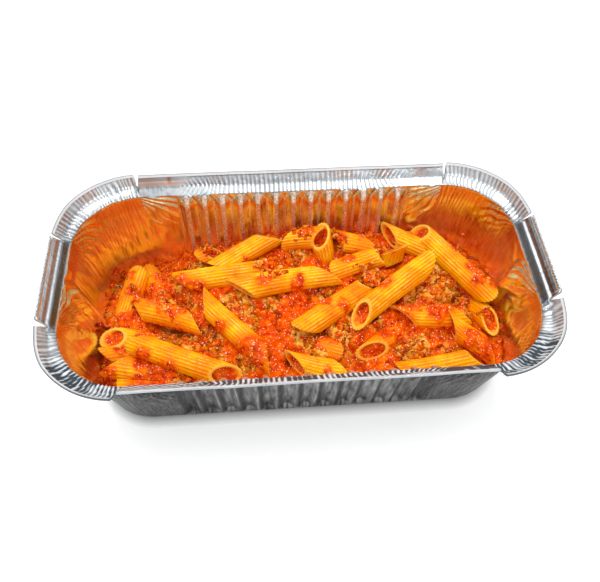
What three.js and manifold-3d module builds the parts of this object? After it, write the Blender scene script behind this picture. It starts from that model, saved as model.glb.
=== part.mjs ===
// A pressed foil tray filled with penne in meat sauce. Millimetres, +Z up.
// The origin is on the surface the tray stands on, under the middle of the tray, and +X runs along it.
import * as THREE from 'three';
import { mergeVertices } from 'three/addons/utils/BufferGeometryUtils.js';
import Module from 'manifold-3d';

// ---------------------------------------------------------------- driving dimensions

const RIM = { halfLength: 110, halfWidth: 55.75, cornerRadius: 36 };
const BASE = { halfLength: 94.5, halfWidth: 42.9, cornerRadius: 24 };
const TRAY_HEIGHT = 62;
const SHEET = 0.8;
const SLOPED_SHEET = SHEET * Math.SQRT1_2;

// The rim's section, from the bead inwards: how far in from the outer edge, and how far below the top.
const BEAD = [
  { inset: 0.0, drop: 1.7 },
  { inset: 0.2, drop: 0.3 },
  { inset: 0.9, drop: 0.0 },
  { inset: 1.6, drop: 1.0 },
];
const BEAD_FOOT = { inset: 1.1, drop: 2.1 };
const RIDGE = { inset: 3.7, drop: 5.6 };
const SHOULDER = { inset: 6.6, drop: 8.8 };

// Flutes pressed inwards in the long walls, and the single one near the middle of each short wall.
const FLUTE = { pitch: 8.72, count: 13, depth: 2.5, top: 12.8 };
const END_FLUTE_Y = 2;
const FOOT = { height: 5, inset: 4 };

// The flange is nicked at both ends of each straight side, and flares out round the corners.
const NICK = { inset: 3.0, drop: 4.6, scale: 0.3 };
const NICK_ANGLES = { shortSide: [2.1, 4.2, 6.3], longSide: [86.6, 88.4, 90] };
const FLARE = { start: 0.3, full: 1.9, from: 8, to: 40, drop: 1.3 };
const CORNER_ANGLES = [20, 34, 48, 62, 76];

// The meal: how high it lies in the tray, and how it thins out towards the ends and one far corner.
const MEAL = {
  depth: 25,
  endFall: 8,
  sideFall: 3,
  hollow: { x: -75, y: 38, depth: 12, spread: 26 },
  wallGap: 3.0,
  floorGap: 0.35,
  rounding: 0.2,
  columns: 46,
  rows: 20,
};
// Lumps of mince under the sauce, in the surface of the meal.
const LUMPS = [
  { height: 0.9, length: 10.4, width: 9.3, shift: 1.5 },
  { height: 0.7, length: 17.2, width: 13.6, shift: 4.0 },
];
const PENNE = { radius: 5.3, bore: 3.9, boreDepth: 12, slant: 1.15, sides: 10 };

// Every piece of pasta that shows: its middle, where it heads, how far it climbs, its length from tip
// to tip, which way its cut end faces round the tube, and whether that end is open to view.
const PASTA = [
  { at: [-55.5, -25.5, 25.5], heading: 154, climb: -5, length: 56, facing: 90, open: true },
  { at: [-72, -9.5, 18], heading: -2, climb: -6, length: 48, facing: -15, open: true },
  { at: [-76.5, -15.5, 13.5], heading: 5, climb: -6, length: 41, facing: -130, open: false },
  { at: [-73.5, -24.5, 17.5], heading: -11, climb: 0, length: 43, facing: 72, open: false },
  { at: [-64, -34, 14], heading: -8, climb: 3, length: 46, facing: 176, open: false },
  { at: [-85, 15.5, 13], heading: -104, climb: -8, length: 38, facing: -178, open: false },
  { at: [-70, 18, 13], heading: -67, climb: 14, length: 42, facing: 180, open: false },
  { at: [-64.6, 0.6, 22.5], heading: -24, climb: 9, length: 45, facing: -120, open: false },
  { at: [-31, -13, 28], heading: -47, climb: -2, length: 55, facing: -95, open: false },
  { at: [-32.5, 19.5, 26], heading: 3, climb: 5, length: 58, facing: -150, open: false },
  { at: [-6.5, 11, 31.5], heading: 7, climb: 0, length: 56, facing: -110, open: true },
  { at: [-24.5, 32.5, 28], heading: 26, climb: 11, length: 41, facing: -135, open: false },
  { at: [6, 37, 31], heading: 4, climb: 0, length: 28, facing: 108, open: false },
  { at: [14.5, 32.5, 27], heading: -74, climb: -56, length: 27, facing: -95, open: true },
  { at: [29.5, 34, 28.5], heading: -15, climb: -3, length: 31, facing: -4, open: false },
  { at: [33, 22.5, 27.5], heading: 20, climb: -2, length: 39, facing: 156, open: false },
  { at: [49, 25.5, 27], heading: -126, climb: -71, length: 23, facing: 75, open: false },
  { at: [60.5, 32, 27.5], heading: -25, climb: -11, length: 38, facing: -92, open: true },
  { at: [64, 28.5, 21], heading: -15, climb: -6, length: 33, facing: -84, open: false },
  { at: [78.5, 19, 29.5], heading: -54, climb: -4, length: 58, facing: -24, open: true },
  { at: [45.5, 2.5, 33], heading: 36, climb: 1, length: 56, facing: 18, open: true },
  { at: [18.5, -3.5, 30], heading: 32, climb: 1, length: 52, facing: -158, open: false },
  { at: [63.5, -9, 24], heading: 3, climb: -9, length: 42, facing: -112, open: true },
  { at: [80.3, -20.8, 22.5], heading: -38, climb: -12, length: 34, facing: -125, open: true },
  { at: [89.7, -6, 20.5], heading: 100, climb: -34, length: 32, facing: -30, open: true },
  { at: [64, -35, 23], heading: 10, climb: -6, length: 48, facing: -150, open: false },
  { at: [6, -34.5, 27], heading: -14, climb: -4, length: 34, facing: -85, open: true },
  { at: [43, -16.5, 21.5], heading: 44, climb: -20, length: 45, facing: -66, open: true },
  { at: [2, -18.5, 20.5], heading: -25, climb: 9, length: 40, facing: -26, open: false },
  { at: [-43.5, 35.5, 22], heading: 25, climb: 0, length: 17, facing: 60, open: false },
  { at: [-1, 31, 20.5], heading: 8, climb: 2, length: 35, facing: 170, open: false },
];

// ---------------------------------------------------------------- small helpers

const { degToRad, lerp, smoothstep } = THREE.MathUtils;

function meshGeometry(points, triangles) {
  const geometry = new THREE.BufferGeometry();
  geometry.setAttribute('position', new THREE.Float32BufferAttribute(points.flat(), 3));
  geometry.setIndex(triangles);
  return geometry;
}

// Joins neighbouring rings of points into a closed skin, with a fan at each end.
function skinOfRings(rings, firstCentre, lastCentre) {
  const count = rings[0].length;
  const points = [firstCentre, ...rings.flat(), lastCentre];
  const last = points.length - 1;
  const at = (ring, i) => 1 + ring * count + (i % count);
  const triangles = [];
  for (let i = 0; i < count; i++) {
    triangles.push(0, at(0, i), at(0, i + 1));
    for (let ring = 0; ring + 1 < rings.length; ring++) {
      const a = at(ring, i);
      const b = at(ring, i + 1);
      const c = at(ring + 1, i);
      const d = at(ring + 1, i + 1);
      triangles.push(a, c, d, a, d, b);
    }
    triangles.push(last, at(rings.length - 1, i + 1), at(rings.length - 1, i));
  }
  return meshGeometry(points, triangles);
}

// ---------------------------------------------------------------- the tray's plan and section

const shrink = ({ halfLength, halfWidth, cornerRadius }, inset) => ({
  halfLength: halfLength - inset,
  halfWidth: halfWidth - inset,
  cornerRadius: cornerRadius - inset,
});

const SHOULDER_PLAN = shrink(RIM, SHOULDER.inset);
const SHOULDER_Z = TRAY_HEIGHT - SHOULDER.drop;

// The wall leans out evenly from the base to the shoulder under the rim.
function wallPlan(z) {
  const rise = z / SHOULDER_Z;
  return {
    halfLength: lerp(BASE.halfLength, SHOULDER_PLAN.halfLength, rise),
    halfWidth: lerp(BASE.halfWidth, SHOULDER_PLAN.halfWidth, rise),
    cornerRadius: lerp(BASE.cornerRadius, SHOULDER_PLAN.cornerRadius, rise),
  };
}

const RIM_STRAIGHT_X = RIM.halfLength - RIM.cornerRadius;
const RIM_STRAIGHT_Y = RIM.halfWidth - RIM.cornerRadius;
const FLUTED_HALF = (FLUTE.count / 2) * FLUTE.pitch;

// How far a flute stands in from the plain wall, counted from the middle of its crest.
const fluteSwing = (along) => (FLUTE.depth / 2) * (1 + Math.cos((2 * Math.PI * along) / FLUTE.pitch));

// One stop on the way round the tray. Straight stops carry a distance along their side, corner stops
// an angle; "swing" is the flute there, "nick" how far the flange is cut away, "flare" its lean out.
function longSideStops(side) {
  const stops = [];
  const steps = FLUTE.count * 4;
  for (let i = 0; i <= steps; i++) {
    const along = -FLUTED_HALF + (i * FLUTE.pitch) / 4;
    stops.push({ along, swing: fluteSwing(along) });
  }
  for (const end of [-1, 1]) {
    stops.push({ along: end * (FLUTED_HALF + FLUTE.pitch / 4), swing: 0 });
    stops.push({ along: end * (FLUTED_HALF + FLUTE.pitch), swing: 0 });
  }
  stops.sort((a, b) => side * (b.along - a.along));
  return stops.map((stop) => ({ kind: 'long', side, nick: 0, flare: 0, ...stop }));
}

function shortSideStops(side) {
  const stops = [-16, -9, 13].map((along) => ({ along, swing: 0 }));
  for (let i = -2; i <= 2; i++) {
    const offset = (i * FLUTE.pitch) / 4;
    stops.push({ along: END_FLUTE_Y + offset, swing: fluteSwing(offset) });
  }
  stops.sort((a, b) => side * (a.along - b.along));
  return stops.map((stop) => ({ kind: 'short', side, nick: 0, flare: 0, ...stop }));
}

function cornerStops(sideX, sideY) {
  const [straightEnd, gapNear, cornerStart] = NICK_ANGLES.shortSide;
  const [cornerEnd, gapFar, straightStart] = NICK_ANGLES.longSide;
  const stops = [
    { angle: straightEnd, nick: 0, flare: 0 },
    { angle: gapNear, nick: 1, flare: 0 },
    ...[cornerStart, ...CORNER_ANGLES, cornerEnd].map((angle) => ({ angle, nick: 0, flare: 1 })),
    { angle: gapFar, nick: 1, flare: 0 },
    { angle: straightStart, nick: 0, flare: 0 },
  ];
  if (sideX * sideY < 0) stops.reverse();
  return stops.map((stop) => ({ kind: 'corner', sideX, sideY, swing: 0, ...stop }));
}

const STOPS = [
  ...shortSideStops(1),
  ...cornerStops(1, 1),
  ...longSideStops(1),
  ...cornerStops(-1, 1),
  ...shortSideStops(-1),
  ...cornerStops(-1, -1),
  ...longSideStops(-1),
  ...cornerStops(1, -1),
];

// Where a stop lies on a plan, moved inwards by "inward".
function planPoint(plan, stop, inward) {
  const straightX = plan.halfLength - plan.cornerRadius;
  const straightY = plan.halfWidth - plan.cornerRadius;
  if (stop.kind === 'long') {
    const past = Math.abs(stop.along) - FLUTED_HALF;
    const room = (straightX - FLUTED_HALF) / (RIM_STRAIGHT_X - FLUTED_HALF);
    const x = past > 0 ? Math.sign(stop.along) * (FLUTED_HALF + past * room) : stop.along;
    return [x, stop.side * (plan.halfWidth - inward)];
  }
  if (stop.kind === 'short') {
    return [stop.side * (plan.halfLength - inward), (stop.along * straightY) / RIM_STRAIGHT_Y];
  }
  const angle = degToRad(stop.angle);
  const radius = plan.cornerRadius - inward;
  return [
    stop.sideX * (straightX + radius * Math.cos(angle)),
    stop.sideY * (straightY + radius * Math.sin(angle)),
  ];
}

function flangePoint({ inset, drop }, stop) {
  const cut = stop.nick;
  const nickedInset = NICK.inset + (inset - BEAD[2].inset) * NICK.scale;
  const nickedDrop = NICK.drop + drop * NICK.scale;
  const open = stop.flare ? smoothstep(stop.angle, FLARE.from, FLARE.to) : 0;
  const flare = stop.flare * lerp(FLARE.start, FLARE.full, open);
  const reach = lerp(inset - flare, nickedInset, cut);
  const below = lerp(drop + stop.flare * FLARE.drop, nickedDrop, cut);
  return [...planPoint(RIM, stop, reach), TRAY_HEIGHT - below];
}

const rimRing = ({ inset, drop }) =>
  STOPS.map((stop) => [...planPoint(RIM, stop, inset), TRAY_HEIGHT - drop]);

const wallRing = (z, outward, fluting, inset = 0) =>
  STOPS.map((stop) => [...planPoint(wallPlan(z), stop, inset - outward + fluting * stop.swing), z]);

function trayGeometry() {
  const under = ({ inset, drop }, outward, lower) => ({ inset: inset - outward, drop: drop + lower });
  const archZ = TRAY_HEIGHT - FLUTE.top;
  const floorRing = wallRing(0, 0, 0, FOOT.inset);
  const inner = [
    floorRing.map(([x, y]) => [x, y, SHEET]),
    wallRing(FOOT.height, 0, 1),
    wallRing(archZ, 0, 1),
    rimRing(SHOULDER),
    rimRing(RIDGE),
  ];
  const flangeRing = (edge) => STOPS.map((stop) => flangePoint(edge, stop));
  const outer = [
    flangeRing(BEAD_FOOT),
    rimRing(under(RIDGE, SLOPED_SHEET, SLOPED_SHEET)),
    rimRing(under(SHOULDER, SLOPED_SHEET, SHEET)),
    wallRing(archZ, SHEET, 1),
    wallRing(FOOT.height - SHEET / 2, SHEET, 1),
    floorRing,
  ];
  const bead = [...BEAD].reverse().map(flangeRing);
  return skinOfRings([...inner, ...bead, ...outer], [0, 0, SHEET], [0, 0, 0]);
}

// ---------------------------------------------------------------- the meal

// Height of the sauced heap's surface above the table, without its lumps.
function mealHeight(x, y) {
  const { depth, endFall, sideFall, hollow } = MEAL;
  const ends = endFall * Math.abs(x / BASE.halfLength) ** 3;
  const sides = sideFall * (y / BASE.halfWidth) ** 2;
  const distance = (x - hollow.x) ** 2 + (y - hollow.y) ** 2;
  return depth - ends - sides - hollow.depth * Math.exp(-distance / (2 * hollow.spread ** 2));
}

const ripple = (distance, length, shift) => Math.sin((2 * Math.PI * (distance + shift)) / length);

function mealLumps(x, y) {
  return LUMPS.reduce((sum, { height, length, width, shift }) =>
    sum + height * ripple(x, length, shift) * ripple(y, width, shift), 0);
}

// A rounded rectangle filled from a square grid: u and v run from -1 to 1.
function mealPlanPoint(u, v, z, gap) {
  const plan = wallPlan(z);
  const x = (plan.halfLength - gap) * u * Math.sqrt(1 - MEAL.rounding * v * v);
  const y = (plan.halfWidth - gap) * v * Math.sqrt(1 - MEAL.rounding * u * u);
  return [x, y];
}

function mealTopPoint(u, v) {
  const [guessX, guessY] = mealPlanPoint(u, v, MEAL.depth, MEAL.wallGap);
  const [x, y] = mealPlanPoint(u, v, mealHeight(guessX, guessY), MEAL.wallGap);
  const edge = Math.max(Math.abs(u), Math.abs(v));
  const lumps = mealLumps(x, y) * (1 - edge ** 8);
  return [x, y, mealHeight(x, y) + lumps];
}

function mealCoreGeometry() {
  const { columns, rows, wallGap, floorGap } = MEAL;
  const u = (i) => (2 * i) / columns - 1;
  const v = (j) => (2 * j) / rows - 1;
  const points = [];
  const triangles = [];
  for (let j = 0; j <= rows; j++) {
    for (let i = 0; i <= columns; i++) points.push(mealTopPoint(u(i), v(j)));
  }
  const top = (i, j) => j * (columns + 1) + i;
  for (let j = 0; j < rows; j++) {
    for (let i = 0; i < columns; i++) {
      const corners = [top(i, j), top(i + 1, j), top(i + 1, j + 1), top(i, j + 1)];
      triangles.push(corners[0], corners[1], corners[2], corners[0], corners[2], corners[3]);
    }
  }
  const border = [];
  for (let i = 0; i < columns; i++) border.push([i, 0]);
  for (let j = 0; j < rows; j++) border.push([columns, j]);
  for (let i = columns; i > 0; i--) border.push([i, rows]);
  for (let j = rows; j > 0; j--) border.push([0, j]);
  const lowZ = SHEET + floorGap;
  const skirt = [
    { z: FOOT.height + 1, gap: wallGap },
    { z: lowZ, gap: wallGap + FOOT.inset },
  ];
  let above = border.map(([i, j]) => top(i, j));
  for (const { z, gap } of skirt) {
    const below = border.map(([i, j]) => points.push([...mealPlanPoint(u(i), v(j), z, gap), z]) - 1);
    for (let k = 0; k < border.length; k++) {
      const next = (k + 1) % border.length;
      triangles.push(above[k], below[k], below[next], above[k], below[next], above[next]);
    }
    above = below;
  }
  const middle = points.push([0, 0, lowZ]) - 1;
  above.forEach((point, k) => triangles.push(middle, above[(k + 1) % above.length], point));
  return meshGeometry(points, triangles);
}

// A tube of pasta along +Z with both ends cut on the slant; an open one is hollow at its first end.
function penneGeometry({ length, open }) {
  const { radius, bore, boreDepth, slant, sides } = PENNE;
  const half = length / 2 - slant * radius;
  const profile = open
    ? [[0, boreDepth - half], [bore, boreDepth - half], [bore, -half], [radius, -half], [radius, half], [0, half]]
    : [[0, -half], [radius, -half], [radius, half], [0, half]];
  const geometry = new THREE.LatheGeometry(profile.map(([r, h]) => new THREE.Vector2(r, h)), sides);
  geometry.rotateX(Math.PI / 2);
  const shear = new THREE.Matrix4().makeShear(0, slant, 0, 0, 0, 0);
  return geometry.applyMatrix4(shear);
}

// Lays the tube along its heading, with its cut end turned to face where it does.
function placePenne(geometry, { at, heading, climb, facing }) {
  const along = new THREE.Vector3(
    Math.cos(degToRad(climb)) * Math.cos(degToRad(heading)),
    Math.cos(degToRad(climb)) * Math.sin(degToRad(heading)),
    Math.sin(degToRad(climb)),
  );
  const left = new THREE.Vector3(-Math.sin(degToRad(heading)), Math.cos(degToRad(heading)), 0);
  const up = new THREE.Vector3().crossVectors(along, left);
  const face = up.clone().multiplyScalar(Math.cos(degToRad(facing)));
  face.addScaledVector(left, Math.sin(degToRad(facing)));
  const across = new THREE.Vector3().crossVectors(face, along);
  const frame = new THREE.Matrix4().makeBasis(face, across.negate(), along);
  return geometry.applyMatrix4(frame.setPosition(...at));
}

// ---------------------------------------------------------------- joining solids

const wasm = await Module();
wasm.setup();

function toSolid(geometry) {
  const bare = geometry.clone();
  bare.deleteAttribute('normal');
  bare.deleteAttribute('uv');
  const welded = mergeVertices(bare, 1e-4);
  return new wasm.Manifold(new wasm.Mesh({
    numProp: 3,
    vertProperties: new Float32Array(welded.attributes.position.array),
    triVerts: new Uint32Array(welded.index.array),
  }));
}

function toGeometry(solid) {
  const { numProp, vertProperties, triVerts } = solid.getMesh();
  const points = [];
  for (let i = 0; i < vertProperties.length; i += numProp) {
    points.push([...vertProperties.slice(i, i + 3)]);
  }
  return meshGeometry(points, [...triVerts]);
}

// The pasta is fused onto the core, and the outermost skin is kept, so no sealed pocket stays inside.
function mealGeometry() {
  let heap = toSolid(mealCoreGeometry());
  for (const piece of PASTA) heap = heap.add(toSolid(placePenne(penneGeometry(piece), piece)));
  const skins = heap.decompose().sort((a, b) => b.volume() - a.volume());
  return toGeometry(skins[0]);
}

// ---------------------------------------------------------------- the object

const foil = new THREE.MeshStandardMaterial({ color: 0xb8bec2, metalness: 0.95, roughness: 0.3 });
const saucedPasta = new THREE.MeshStandardMaterial({ color: 0xe88a1c, metalness: 0, roughness: 0.4 });

function named(name, geometry, material) {
  const mesh = new THREE.Mesh(geometry, material);
  mesh.name = name;
  return mesh;
}

const meal = new THREE.Group();
meal.add(named('foil_tray', trayGeometry(), foil));
meal.add(named('penne_in_meat_sauce', mealGeometry(), saucedPasta));

export default meal;
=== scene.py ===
"""A takeaway foil tray of penne in meat sauce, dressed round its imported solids."""
from math import cos, pi, radians, sin

import bmesh
import bpy
import numpy as np
from mathutils import Matrix, Vector


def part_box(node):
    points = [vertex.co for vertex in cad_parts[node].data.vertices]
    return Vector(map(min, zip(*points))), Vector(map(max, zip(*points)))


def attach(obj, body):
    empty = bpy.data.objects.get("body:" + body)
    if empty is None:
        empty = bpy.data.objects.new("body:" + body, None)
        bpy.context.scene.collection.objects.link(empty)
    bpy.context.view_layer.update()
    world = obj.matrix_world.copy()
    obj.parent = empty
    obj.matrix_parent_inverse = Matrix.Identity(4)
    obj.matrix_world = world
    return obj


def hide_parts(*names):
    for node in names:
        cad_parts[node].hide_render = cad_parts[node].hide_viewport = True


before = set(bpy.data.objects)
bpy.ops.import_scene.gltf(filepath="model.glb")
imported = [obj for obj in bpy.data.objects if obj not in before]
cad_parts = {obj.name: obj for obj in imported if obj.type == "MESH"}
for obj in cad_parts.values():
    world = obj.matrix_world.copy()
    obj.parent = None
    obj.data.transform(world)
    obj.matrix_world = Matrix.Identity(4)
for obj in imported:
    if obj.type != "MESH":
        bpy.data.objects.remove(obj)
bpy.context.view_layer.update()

# ---------------------------------------------------------------- the view

# The meal is seen from the front and above, a quarter of a metre away, a little to the left of its middle.
# All places in this script are in millimetres; MM turns them into the frame's metres.

MM = 0.001
SEEN_POINT = Vector((-1.66, -14.51, 62.0))
SEEN_FROM = {"azimuth": -6.29, "elevation": 57.4, "roll": 2.39, "distance": 245.4}
LENS = 35.1


def camera_matrix():
    azimuth, elevation = radians(SEEN_FROM["azimuth"]), radians(SEEN_FROM["elevation"])
    back = Vector((sin(azimuth) * cos(elevation), -cos(azimuth) * cos(elevation), sin(elevation)))
    level = Vector((0, 0, 1)).cross(back).normalized()
    upright = back.cross(level)
    roll = radians(SEEN_FROM["roll"])
    right = cos(roll) * level + sin(roll) * upright
    top = cos(roll) * upright - sin(roll) * level
    place = (SEEN_POINT + back * SEEN_FROM["distance"]) * MM
    columns = Matrix((right, top, back)).transposed().to_4x4()
    return Matrix.Translation(place) @ columns


camera = bpy.data.objects.new("camera", bpy.data.cameras.new("camera"))
camera.data.lens = LENS
camera.data.clip_start = 0.01
camera.matrix_world = camera_matrix()
bpy.context.scene.collection.objects.link(camera)
bpy.context.scene.camera = camera
bpy.context.scene.view_settings.view_transform = "Standard"

# ---------------------------------------------------------------- foil tray

# One sheet of thin aluminium pressed into a loaf-shaped tray. Its long walls are fluted, its corners
# gather the spare foil in fine pleats, and its flange ends in a rolled bead that is nicked in eight
# places so that the four sides can be folded down over a lid. Oil from the sauce colours its inside,
# deepened by a painted orange reflection of the meal, and painted shade darkens its pleats and folds.

RIM = {"half_length": 110.0, "half_width": 55.75, "corner": 36.0}
BASE = {"half_length": 94.5, "half_width": 42.9, "corner": 24.0}
TRAY_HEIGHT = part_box("foil_tray")[1].z / MM
SHOULDER = {"inset": 6.6, "drop": 8.8}
SHOULDER_Z = TRAY_HEIGHT - SHOULDER["drop"]
SHOULDER_PLAN = {
    "half_length": RIM["half_length"] - SHOULDER["inset"],
    "half_width": RIM["half_width"] - SHOULDER["inset"],
    "corner": RIM["corner"] - SHOULDER["inset"],
}

# The flange from the shoulder out to the bead: how far along it, its inset there and its drop.
FLANGE = {
    "long": [(0, 6.6, 8.8), (4.2, 4.0, 5.6), (9.3, 1.25, 1.3)],
    "short": [(0, 6.6, 8.8), (0.8, 6.1, 8.2), (4.4, 4.3, 5.0), (5.6, 3.2, 4.3), (9.3, 1.25, 1.3)],
}
FOIL_GAUGE = 0.12
FOOT = {"height": 5.0, "inset": 4.0, "spare": 0.12}

# The rolled bead, from its inner edge over the top, down outside and tucked under: inset and drop.
BEAD = [
    (1.15, 0.95), (0.85, 0.5), (0.5, 0.14), (0.2, 0.05), (0.02, 0.3), (0.0, 0.85),
    (0.1, 1.45), (0.4, 1.85), (0.85, 1.95), (1.2, 1.75),
]

# A flute slopes in over "ramp" below the shoulder; its arched outline starts "spring" below it.
# Its half width and the width of its sides are shares of the pitch.
FLUTE = {
    "pitch": 8.72, "count": 13, "depth": 2.4, "ramp": 5.6, "spring": 5.1, "arch": 4.6,
    "half_share": 0.44, "slope_share": 0.34,
}
FLUTED_HALF = FLUTE["pitch"] * FLUTE["count"] / 2
END_FLUTE = {"y": 2.0, "half_width": 4.5, "depth": 2.4, "top": 3.4, "crest": 0.8, "spare": 0.7}
STRAIGHT = {"x": RIM["half_length"] - RIM["corner"], "y": RIM["half_width"] - RIM["corner"]}
STEP = {"long": 0.5, "corner": 0.5, "short": 0.6}

# Two nicks stand at these angles round each corner, and the foil flares out between them.
NICK = {"short": 4.2, "long": 88.4, "half_angle": 1.9, "inset": 3.2, "drop": 4.6}
FLARE = {"start": 0.3, "full": 1.9, "drop": 1.3}

# Creases fan out from points "above" the shoulder on the walls: on the long ones at this x, on the
# short ones at this y. They lie this many degrees apart and stand in this deep.
FAN = {"x": 80.0, "y": -21.0, "above": 3.0, "spacing": 11.5, "depth": 0.48}
SLASH_SHADE_ASIDE = 1.2
SMEAR_ON_FLANGE = {"x": -59.5, "half_width": 1.1}

# Repeatable noise: a table of random values from -1 to 1, and what turns a place into its index.
NOISE_TABLE = np.random.default_rng(11).random(4096) * 2 - 1
NOISE_STRIDES = (1, 157, 1013)
NOISE_SCRAMBLE = 2654435761


def smooth(value, low, high):
    """From 0 up to 1 over a range."""
    t = np.clip((value - low) / (high - low), 0, 1)
    return t * t * (3 - 2 * t)


def fade(value, low, high):
    """From 1 down to 0 over a range."""
    return 1 - smooth(value, low, high)


def band(value, low, full, fading, gone):
    """Up from 0 to 1 over one range and back down over the next."""
    return smooth(value, low, full) * fade(value, fading, gone)


def random_value(index):
    """A random number from -1 to 1 that belongs to each whole number."""
    return NOISE_TABLE[(index * NOISE_SCRAMBLE >> 7) & (len(NOISE_TABLE) - 1)]


def soft_noise(x, y, z, size):
    """Smooth noise from -1 to 1 whose bumps are about "size" across."""
    place = np.stack(np.broadcast_arrays(x, y, z)) / size + 512
    cell = np.floor(place).astype(int)
    part = place - cell
    part = part * part * (3 - 2 * part)
    total = 0
    for corner in range(8):
        shift = (corner & 1, corner >> 1 & 1, corner >> 2 & 1)
        index = sum((cell[axis] + shift[axis]) * NOISE_STRIDES[axis] for axis in range(3))
        weight = 1
        for axis in range(3):
            weight = weight * (part[axis] if shift[axis] else 1 - part[axis])
        total = total + weight * random_value(index)
    return total


def folds(distance, pitch):
    """Sharp foil folds: a zigzag from -1 to 1 along a distance."""
    return 1 - 4 * np.abs((distance / pitch) % 1 - 0.5)


def stops_round_tray():
    """Every stop on the way round: its anchor's side, its outward angle, and where it lies on its side."""
    kinds, along, angles = [], [], []

    def add(kind, values, outward):
        kinds.extend([kind] * len(values))
        along.extend(values)
        angles.extend(outward)

    long_side = np.linspace(STRAIGHT["x"], -STRAIGHT["x"], int(2 * STRAIGHT["x"] / STEP["long"]))
    short_side = np.linspace(-STRAIGHT["y"], STRAIGHT["y"], int(2 * STRAIGHT["y"] / STEP["short"]))
    turn = np.linspace(0, 90, int(RIM["corner"] * pi / 2 / STEP["corner"]))[1:-1]
    for quarter in range(4):
        start = quarter * 90.0
        side = short_side if quarter % 2 == 0 else long_side
        if quarter >= 2:
            side = -side
        add("short" if quarter % 2 == 0 else "long", list(side), [start] * len(side))
        add("corner", [0.0] * len(turn), list(start + turn))
    return np.array(kinds), np.array(along), np.radians(np.array(angles))


kind, along, outward = stops_round_tray()
on_long, on_short, on_corner = kind == "long", kind == "short", kind == "corner"
out_x, out_y = np.cos(outward), np.sin(outward)
side_x = np.where(on_corner, np.sign(out_x), np.where(on_short, np.sign(np.round(out_x)), 0))
side_y = np.where(on_corner, np.sign(out_y), np.where(on_long, np.sign(np.round(out_y)), 0))
bend = np.degrees(np.arctan2(np.abs(out_y), np.abs(out_x)))


def ring(plan, inset, z):
    """The points of one ring round the tray: a rounded rectangle moved inwards by "inset"."""
    straight_x = plan["half_length"] - plan["corner"]
    straight_y = plan["half_width"] - plan["corner"]
    past = np.maximum(np.abs(along) - FLUTED_HALF, 0)
    room = (straight_x - FLUTED_HALF) / (STRAIGHT["x"] - FLUTED_HALF)
    long_x = np.sign(along) * (np.minimum(np.abs(along), FLUTED_HALF) + past * room)
    anchor_x = np.where(on_long, long_x, side_x * straight_x)
    anchor_y = np.where(on_short, along * straight_y / STRAIGHT["y"], side_y * straight_y)
    reach = plan["corner"] - inset
    return np.stack([anchor_x + out_x * reach, anchor_y + out_y * reach, z + 0 * reach + 0 * along], 1)


def wall_plan(z):
    rise = z / SHOULDER_Z
    return {key: BASE[key] + (SHOULDER_PLAN[key] - BASE[key]) * rise for key in BASE}


def flute_section(x):
    """Across the flutes at x: the place on a flute from -0.5 to 0.5, and how far in it stands, 0 to 1."""
    phase = (x / FLUTE["pitch"] + 0.5) % 1 - 0.5
    reach = np.clip((FLUTE["half_share"] - np.abs(phase)) / FLUTE["slope_share"], 0, 1)
    return phase, np.where(np.abs(x) < FLUTED_HALF, reach, 0)


in_flutes = on_long & (np.abs(along) < FLUTED_HALF)
flute_phase, flute_reach = flute_section(np.where(on_long, along, 999.0))
flute_arch = np.where(in_flutes, np.clip(1 - np.abs(2 * flute_phase) ** 1.8, 0, 1), 0)
arch_line = FLUTE["spring"] - FLUTE["arch"] * flute_arch
end_offset = np.where(on_short, np.abs(along - END_FLUTE["y"]), 99)
end_slope = END_FLUTE["half_width"] - END_FLUTE["crest"]
end_reach = np.clip((END_FLUTE["half_width"] - end_offset) / end_slope, 0, 1)
flare_open = FLARE["start"] + (FLARE["full"] - FLARE["start"]) * smooth(bend, 8, 40)
after_nick = on_corner & (bend > NICK["short"]) & (bend < NICK["long"])
flare = np.where(after_nick, flare_open, 0)
nick_gap = np.minimum(np.abs(bend - NICK["short"]), np.abs(bend - NICK["long"]))
nick_gap = np.where(on_corner, nick_gap, 99)
nicked = np.clip(1.35 * (1 - nick_gap / NICK["half_angle"]), 0, 1)
rim_ring = ring(RIM, 0, TRAY_HEIGHT)
rim_x, rim_y = rim_ring[:, 0], rim_ring[:, 1]
towards_long = np.where(on_long, 1.0, np.where(on_short, 0.0, smooth(bend, 0, 12)))
step_length = np.linalg.norm(np.diff(rim_ring, axis=0, append=rim_ring[:1]), axis=1)
travel = np.cumsum(step_length)


def above_foot(z):
    """How fully the flutes and folds stand out at height z, from 0 at the rounded foot to 1 above it."""
    return smooth(z, 0.5, FOOT["height"] + 2)


def fan_of_creases(across, below, seed):
    """Creases that spread from one point, with "across" measured along the wall from it."""
    down = below + FAN["above"]
    angle = np.degrees(np.arctan2(down, np.maximum(across, 0.1)))
    radius = np.hypot(across, down)
    wave = folds(angle + 7 * soft_noise(across, below, seed, 7), FAN["spacing"])
    return wave * band(radius, 3, 9, 22, 38) * fade(angle, 62, 80) * (across > 0)


def wall_creases(z):
    """The fans of creases at height z, along the walls and round into the corners."""
    below = SHOULDER_Z - z
    inwards = np.where(on_long, FAN["x"] - np.abs(along), -1)
    on_wall = fan_of_creases(inwards, below, side_x * 5 + side_y * 9)
    on_end = fan_of_creases(np.where(on_short, along - FAN["y"], -1), below, side_x * 7)
    into_corner = np.where(on_corner, np.radians(bend) * RIM["corner"], -1)
    round_corner = fan_of_creases(into_corner, below, side_x * 17 + side_y * 3)
    return np.where(in_flutes, 0, on_wall) + 1.2 * on_end + 0.6 * round_corner


def slash_ridges(z, aside=0.0):
    """Short slanting ridges that cross the shoulder between the flutes near both ends of their row."""
    below = SHOULDER_Z - z
    place = (np.abs(along) + 0.6 * below - 2.7 + aside) / FLUTE["pitch"]
    off_line = np.abs(place % 1 - 0.5) * FLUTE["pitch"]
    strength = smooth(np.abs(along), 8, 24) * in_flutes * fade(below, 4.5, 6.5)
    return np.clip(1 - off_line / 0.75, 0, 1) * strength


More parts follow.
